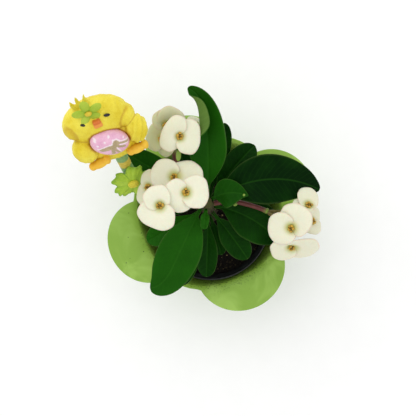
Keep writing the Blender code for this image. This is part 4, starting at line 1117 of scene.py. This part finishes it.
def makeChickTrim():
    black, tree, shader = startMaterial("black gloss enamel", {"Base Color": colour("#140b0a"), "Roughness": 0.15})
    wear = addNode(tree, "TexNoise", inputs={"Scale": 1 / (2 * mm)})
    gloss = addNode(tree, "MapRange", inputs={"Value": wear.outputs["Fac"], "To Min": 0.1, "To Max": 0.3})
    tree.links.new(gloss.outputs[0], shader.inputs["Roughness"])
    shape = startShape()
    for (right, top, out), lean in zip(chick["eyes"], chick["eyeLeans"]):
        place = chickMatrix(right, top, out, lean) @ Matrix.Rotation(math.radians(-38), 4, "X")
        addBall(shape, place, chick["eyeSizes"])
    finishPiece("chickEyes", shape, [black], ["chick_figure"])

    orange = paintedResin("orange painted resin", "#c2571a", "#ebb02a", "#f6cc44", 0.8, 0.5)
    shape = startShape()
    apart, top, out = chick["feet"]
    for side in (-1, 1):
        for right, size in chick["footForms"]:
            addBall(shape, chickMatrix(apart * side, top, out, chick["footTurn"])
                    @ Matrix.Translation((right, 0.6 if right > 0 else 0, 0.4)), size)
    feet = fuse(shape, chick["feetVoxel"], 1)
    finishPiece("chickFeet", feet, [orange], ["chick_figure"])

    beakResin = paintedResin("coral painted resin", "#c9541c", "#e98a38", "#eda753", 0.7, 0.45)
    shape = startShape("hollow")
    for drop, size, dark in chick["beakForms"]:
        place = chickMatrix(*chick["beak"]) @ Matrix.Translation((0, drop, 0)) @ Matrix.Diagonal((*size, 1))
        addForm(shape, "cube", place, {"hollow": dark}, size=2)
    bmesh.ops.bevel(shape, geom=shape.edges[:], offset=0.9 * mm, offset_type="OFFSET", segments=4, profile=0.5,
                    affect="EDGES", material=-1)
    finishPiece("chickBeak", shape, [beakResin], ["chick_figure"], sharp=50)

    leafResin = paintedResin("leaf-green painted resin", "#6f9a1e", "#9cba2c", "#b8cc42", 0.8, 0.5)
    shape = startShape("hollow")
    flower = chickMatrix(*chick["flower"])
    for petal in range(5):
        turn = Matrix.Rotation(math.radians(72 * petal + 18), 4, "Z")
        blade = flower @ turn @ Matrix.Translation((chick["petalOut"], 0, 0)) \
            @ Matrix.Diagonal((*chick["petalSizes"], 1))
        corners = addForm(shape, "uvsphere", blade, {"hollow": 0.0}, u_segments=28, v_segments=18, radius=1)
        toBlade = (Matrix.Scale(mm, 4) @ blade).inverted()
        for corner in corners:
            spot = toBlade @ corner.co
            corner[shape.verts.layers.float["hollow"]] = 0.7 * smooth(0.3, 1, -spot.x) * (spot.z > 0)
    finishPiece("chickFlower", shape, [leafResin], ["chick_figure"])

    pollen, tree, shader = startMaterial("yellow enamel dot", {"Roughness": 0.4})
    fleck = addNode(tree, "TexNoise", inputs={"Vector": addNode(tree, "TexCoord").outputs["Object"],
                                              "Scale": 1 / (1.5 * mm), "Detail": 2})
    dotColour = addNode(tree, "Mix", {"data_type": "RGBA"},
                        {0: fleck.outputs["Fac"], 6: colour("#c9a318"), 7: colour("#ead334")})
    tree.links.new(dotColour.outputs[2], shader.inputs["Base Color"])
    shape = startShape()
    addBall(shape, flower @ Matrix.Translation((0, 0, 0.8)), (2.6, 2.0, 1.5), None, 24, 14)
    finishPiece("chickFlowerDot", shape, [pollen], ["chick_figure"])


def stripedSleeve():
    # striped sleeve below the figure: bands of sea green and mustard paint with soft borders
    sleeve, tree, shader = startMaterial("banded painted sleeve", {"Roughness": 0.5, "Specular IOR Level": 0.3})
    coords = addNode(tree, "TexCoord")
    at = addNode(tree, "SeparateXYZ", inputs={0: coords.outputs["UV"]})
    wobble = addNode(tree, "TexNoise", inputs={"Vector": coords.outputs["Object"], "Scale": 1 / (4 * mm)})
    along = addNode(tree, "Math", {"operation": "MULTIPLY_ADD"},
                    {0: wobble.outputs["Fac"], 1: 0.08, 2: at.outputs["Y"]})
    first = addNode(tree, "MapRange", inputs={"Value": along.outputs[0], "From Min": 0.38, "From Max": 0.42})
    second = addNode(tree, "MapRange", inputs={"Value": along.outputs[0], "From Min": 0.62, "From Max": 0.66})
    fleck = addNode(tree, "TexNoise", inputs={"Vector": coords.outputs["Object"], "Scale": 1 / (1.2 * mm),
                                              "Detail": 4})
    green = addNode(tree, "Mix", {"data_type": "RGBA"},
                    {0: fleck.outputs["Fac"], 6: colour("#5b8f55"), 7: colour("#9cbc78")})
    mustard = addNode(tree, "Mix", {"data_type": "RGBA"},
                      {0: fleck.outputs["Fac"], 6: colour("#b89c22"), 7: colour("#e2d264")})
    upper = addNode(tree, "Mix", {"data_type": "RGBA"},
                    {0: first.outputs[0], 6: green.outputs[2], 7: mustard.outputs[2]})
    last = addNode(tree, "Mix", {"data_type": "RGBA"},
                   {0: second.outputs[0], 6: upper.outputs[2], 7: green.outputs[2]})
    tree.links.new(last.outputs[2], shader.inputs["Base Color"])
    return sleeve


def birchWood():
    # turned birch stick: pale straw with fine grain along it
    wood, tree, shader = startMaterial("birch stick", {"Roughness": 0.6, "Specular IOR Level": 0.3})
    at = addNode(tree, "TexCoord").outputs["Object"]
    grainWay = addNode(tree, "Mapping", {"vector_type": "TEXTURE"},
                       {"Vector": at, "Rotation": chickMatrix().to_euler(), "Scale": (1, 14, 1)})
    grain = addNode(tree, "TexNoise", inputs={"Vector": grainWay.outputs[0], "Scale": 1 / (0.5 * mm), "Detail": 4})
    straw = addNode(tree, "Mix", {"data_type": "RGBA"},
                    {0: grain.outputs["Fac"], 6: colour("#a98a55"), 7: colour("#ddc794")})
    tree.links.new(straw.outputs[2], shader.inputs["Base Color"])
    return wood


def makeSleeveAndStick():
    top, bottom, radius = chick["sleeveTop"], chick["sleeveBottom"], chick["sleeveRadius"]
    shape = startShape()
    route = [chickMatrix(0, top + (bottom - top) * step / 3, 0).to_translation() for step in range(4)]
    addTube(shape, route, lambda share: radius * (1 + 0.03 * math.cos(18 * math.pi * share))
            - 1.0 * smooth(0.95, 1, share), 36, 48)
    finishPiece("chickSleeve", shape, [stripedSleeve()], ["chick_figure"])
    foot = Vector(chick["stickAtSoil"]) + chickMatrix().to_3x3() @ Vector((0, -chick["stickDepth"], 0))
    high = chickMatrix(0, bottom + 11.7, 0).to_translation()
    shape = startShape()
    addTube(shape, [foot, foot.lerp(high, 0.5), high], lambda share: chick["stickRadius"], 20, 30)
    finishPiece("pickStick", shape, [birchWood()], ["pick_stick"])


# Small flower ornament on the stick: five frilled petals bent back, and a grainy dome
ornament = {
    "place": -53.4,
    "out": 8.4,
    "aside": -0.6,
    "turn": -6.0,
    "radius": 17.5,
    "bend": -1.6,
    "gap": 0.5,
    "notch": 0.45,
    "scallop": 0.035,
    "frill": 0.9,
}


def glitterFoam():
    # glittered foam petals: leaf green with a fine sparkle and darker crumbs
    foam, tree, shader = startMaterial("glittered foam", {"Roughness": 0.55, "Specular IOR Level": 0.4})
    at = addNode(tree, "TexCoord").outputs["Object"]
    crumbs = addNode(tree, "TexVoronoi", inputs={"Vector": at, "Scale": 1 / (0.8 * mm)})
    cloud = addNode(tree, "TexNoise", inputs={"Vector": at, "Scale": 1 / (5 * mm), "Detail": 4})
    edge = addNode(tree, "Attribute", {"attribute_name": "edge"})
    mixed = addNode(tree, "Math", {"operation": "MULTIPLY_ADD"},
                    {0: crumbs.outputs["Distance"], 1: 0.35, 2: cloud.outputs["Fac"]})
    green = addNode(tree, "Mix", {"data_type": "RGBA"},
                    {0: mixed.outputs[0], 6: colour("#79a812"), 7: colour("#b4d23c")})
    rim = addNode(tree, "MapRange", {"interpolation_type": "SMOOTHSTEP"},
                  {"Value": edge.outputs["Fac"], "From Min": 0.75, "From Max": 1, "To Max": 0.5})
    last = addNode(tree, "Mix", {"data_type": "RGBA"},
                   {0: rim.outputs[0], 6: green.outputs[2], 7: colour("#5c9410")})
    bump = addNode(tree, "Bump", inputs={"Strength": 0.5, "Distance": 0.3 * mm, "Height": crumbs.outputs["Distance"]})
    tree.links.new(last.outputs[2], shader.inputs["Base Color"])
    tree.links.new(bump.outputs[0], shader.inputs["Normal"])
    return foam


def grainyDome():
    # flower centre rolled in coarse yellow grains
    dome, tree, shader = startMaterial("yellow grain coating", {"Roughness": 0.6, "Specular IOR Level": 0.4})
    at = addNode(tree, "TexCoord").outputs["Object"]
    grains = addNode(tree, "TexVoronoi", inputs={"Vector": at, "Scale": 1 / (0.9 * mm)})
    last = addNode(tree, "Mix", {"data_type": "RGBA"},
                   {0: grains.outputs["Distance"], 6: colour("#f2e648"), 7: colour("#c4b42a")})
    bump = addNode(tree, "Bump", inputs={"Strength": 0.8, "Distance": 0.4 * mm, "Height": grains.outputs["Distance"]})
    tree.links.new(last.outputs[2], shader.inputs["Base Color"])
    tree.links.new(bump.outputs[0], shader.inputs["Normal"])
    return dome


def makeOrnament():
    flower = chickMatrix(ornament["aside"], ornament["place"], ornament["out"], ornament["turn"])
    radius = ornament["radius"]

    def place(u, v):
        # five petals, notched deep between them and lightly at their tips, with a scalloped edge
        turn = 2 * math.pi * v
        petal = abs(math.cos(2.5 * turn))
        reach = 1 - ornament["gap"] * (1 - petal ** 0.45) * u - ornament["notch"] * max(0, petal - 0.8) * u * u
        reach = radius * u * (reach + ornament["scallop"] * math.cos(20 * turn) * u)
        fold = 1.3 * (petal ** 0.5 - 1) * u + ornament["frill"] * math.cos(10 * turn + 0.6) * u ** 2
        ripple = 0.45 * math.cos(20 * turn) * u ** 3 + 0.8 * noise.noise(Vector((math.cos(turn), math.sin(turn), u)))
        return flower @ Vector((reach * math.cos(turn), reach * math.sin(turn),
                                ornament["bend"] * u * u + fold + ripple))

    shape = startShape("edge")
    addSheet(shape, 40, 240, place, {"edge": lambda u, v: max(u, 1.0 - 1.2 * abs(math.cos(5 * math.pi * v)))})
    boss = [flower @ Vector((-ornament["aside"] * 0.5, 0, 2 - ornament["out"])), flower @ Vector((0, 0, -0.4))]
    petals = finishPiece("ornamentPetals", shape, [glitterFoam()], ["ornament_flower"],
                         outward=False)
    addWall(petals, 1.1, 0)
    shape = startShape("edge")
    addTube(shape, boss, lambda share: 2.4, 20, 6, {"edge": 0.0})
    finishPiece("ornamentBoss", shape, [glitterFoam()], ["ornament_flower"])
    shape = startShape()
    corners = addBall(shape, flower @ Matrix.Translation((0, 0, 1.2)), (4.4, 3.8, 2.2), None, 40, 24)
    middle = flower.to_translation() * mm
    for corner in corners:
        corner.co += (corner.co - middle).normalized() * noise.noise(corner.co / (0.9 * mm)) * 0.35 * mm
    finishPiece("ornamentDome", shape, [grainyDome()], ["ornament_centre"])


# Studio: pale floor, two soft boxes and the camera that looks straight down
studio = {
    "camera": (-1.8, 4.5, 688),
    "focalPixels": 674,
    "pictureWidth": 416,
    "worldStrength": 0.86,
    "lights": (("key", (-0.45, 0.5, 0.9), 1.2, 3.6), ("fill", (0.65, -0.4, 0.8), 1.2, 1.6)),
    "lightsAim": (0, 0, 0.12),
}


def makeStudio():
    paper, tree, shader = startMaterial("white paper sweep", {"Roughness": 0.9, "Specular IOR Level": 0.1})
    fibre = addNode(tree, "TexNoise", inputs={"Scale": 1 / (3 * mm), "Detail": 3})
    white = addNode(tree, "Mix", {"data_type": "RGBA"},
                    {0: fibre.outputs["Fac"], 6: colour("#fbfbfb"), 7: colour("#ffffff")})
    tree.links.new(white.outputs[2], shader.inputs["Base Color"])
    shape = bmesh.new()
    bmesh.ops.create_grid(shape, x_segments=1, y_segments=1, size=3)
    mesh = bpy.data.meshes.new("floor")
    shape.to_mesh(mesh)
    shape.free()
    mesh.materials.append(paper)
    floor = bpy.data.objects.new("floor", mesh)
    floor.location.z = -0.05 * mm
    bpy.context.scene.collection.objects.link(floor)

    world = bpy.data.worlds.new("studio")
    bpy.context.scene.world = world
    world.use_nodes = True
    world.node_tree.nodes["Background"].inputs[0].default_value = (1, 1, 1, 1)
    world.node_tree.nodes["Background"].inputs[1].default_value = studio["worldStrength"]

    for name, at, size, power in studio["lights"]:
        light = bpy.data.lights.new(name, "AREA")
        light.size = size
        light.energy = power
        lamp = bpy.data.objects.new(name, light)
        lamp.location = at
        lamp.rotation_euler = (Vector(at) - Vector(studio["lightsAim"])).to_track_quat("Z", "Y").to_euler()
        bpy.context.scene.collection.objects.link(lamp)

    lens = bpy.data.cameras.new("camera")
    lens.sensor_width = 36
    lens.lens = studio["focalPixels"] / studio["pictureWidth"] * lens.sensor_width
    lens.clip_start = 0.01
    camera = bpy.data.objects.new("camera", lens)
    camera.location = Vector(studio["camera"]) * mm
    bpy.context.scene.collection.objects.link(camera)
    bpy.context.scene.camera = camera
    bpy.context.scene.view_settings.view_transform = "Standard"


makeCoverPot()
makeNurseryPot()
makeSoil()
print("pots and soil ready")
makeStem()
makeLeaves()
print("stem and leaves ready")
bractMaterial, glandMaterial, stalkMaterial = waxyBract(), nectarGland(), stalkSkin()
for key in blooms:
    for number, bloom in enumerate(blooms[key], 1):
        makeBloom(f"bloom{key.upper()}{number}", bloom, number + ord(key), bractMaterial, glandMaterial)
    makeStalk(key, stalkMaterial)
print("blooms ready")
makeChickBody()
makeEgg()
makeChickTrim()
makeSleeveAndStick()
makeOrnament()
print("pick and ornament ready")
makeStudio()
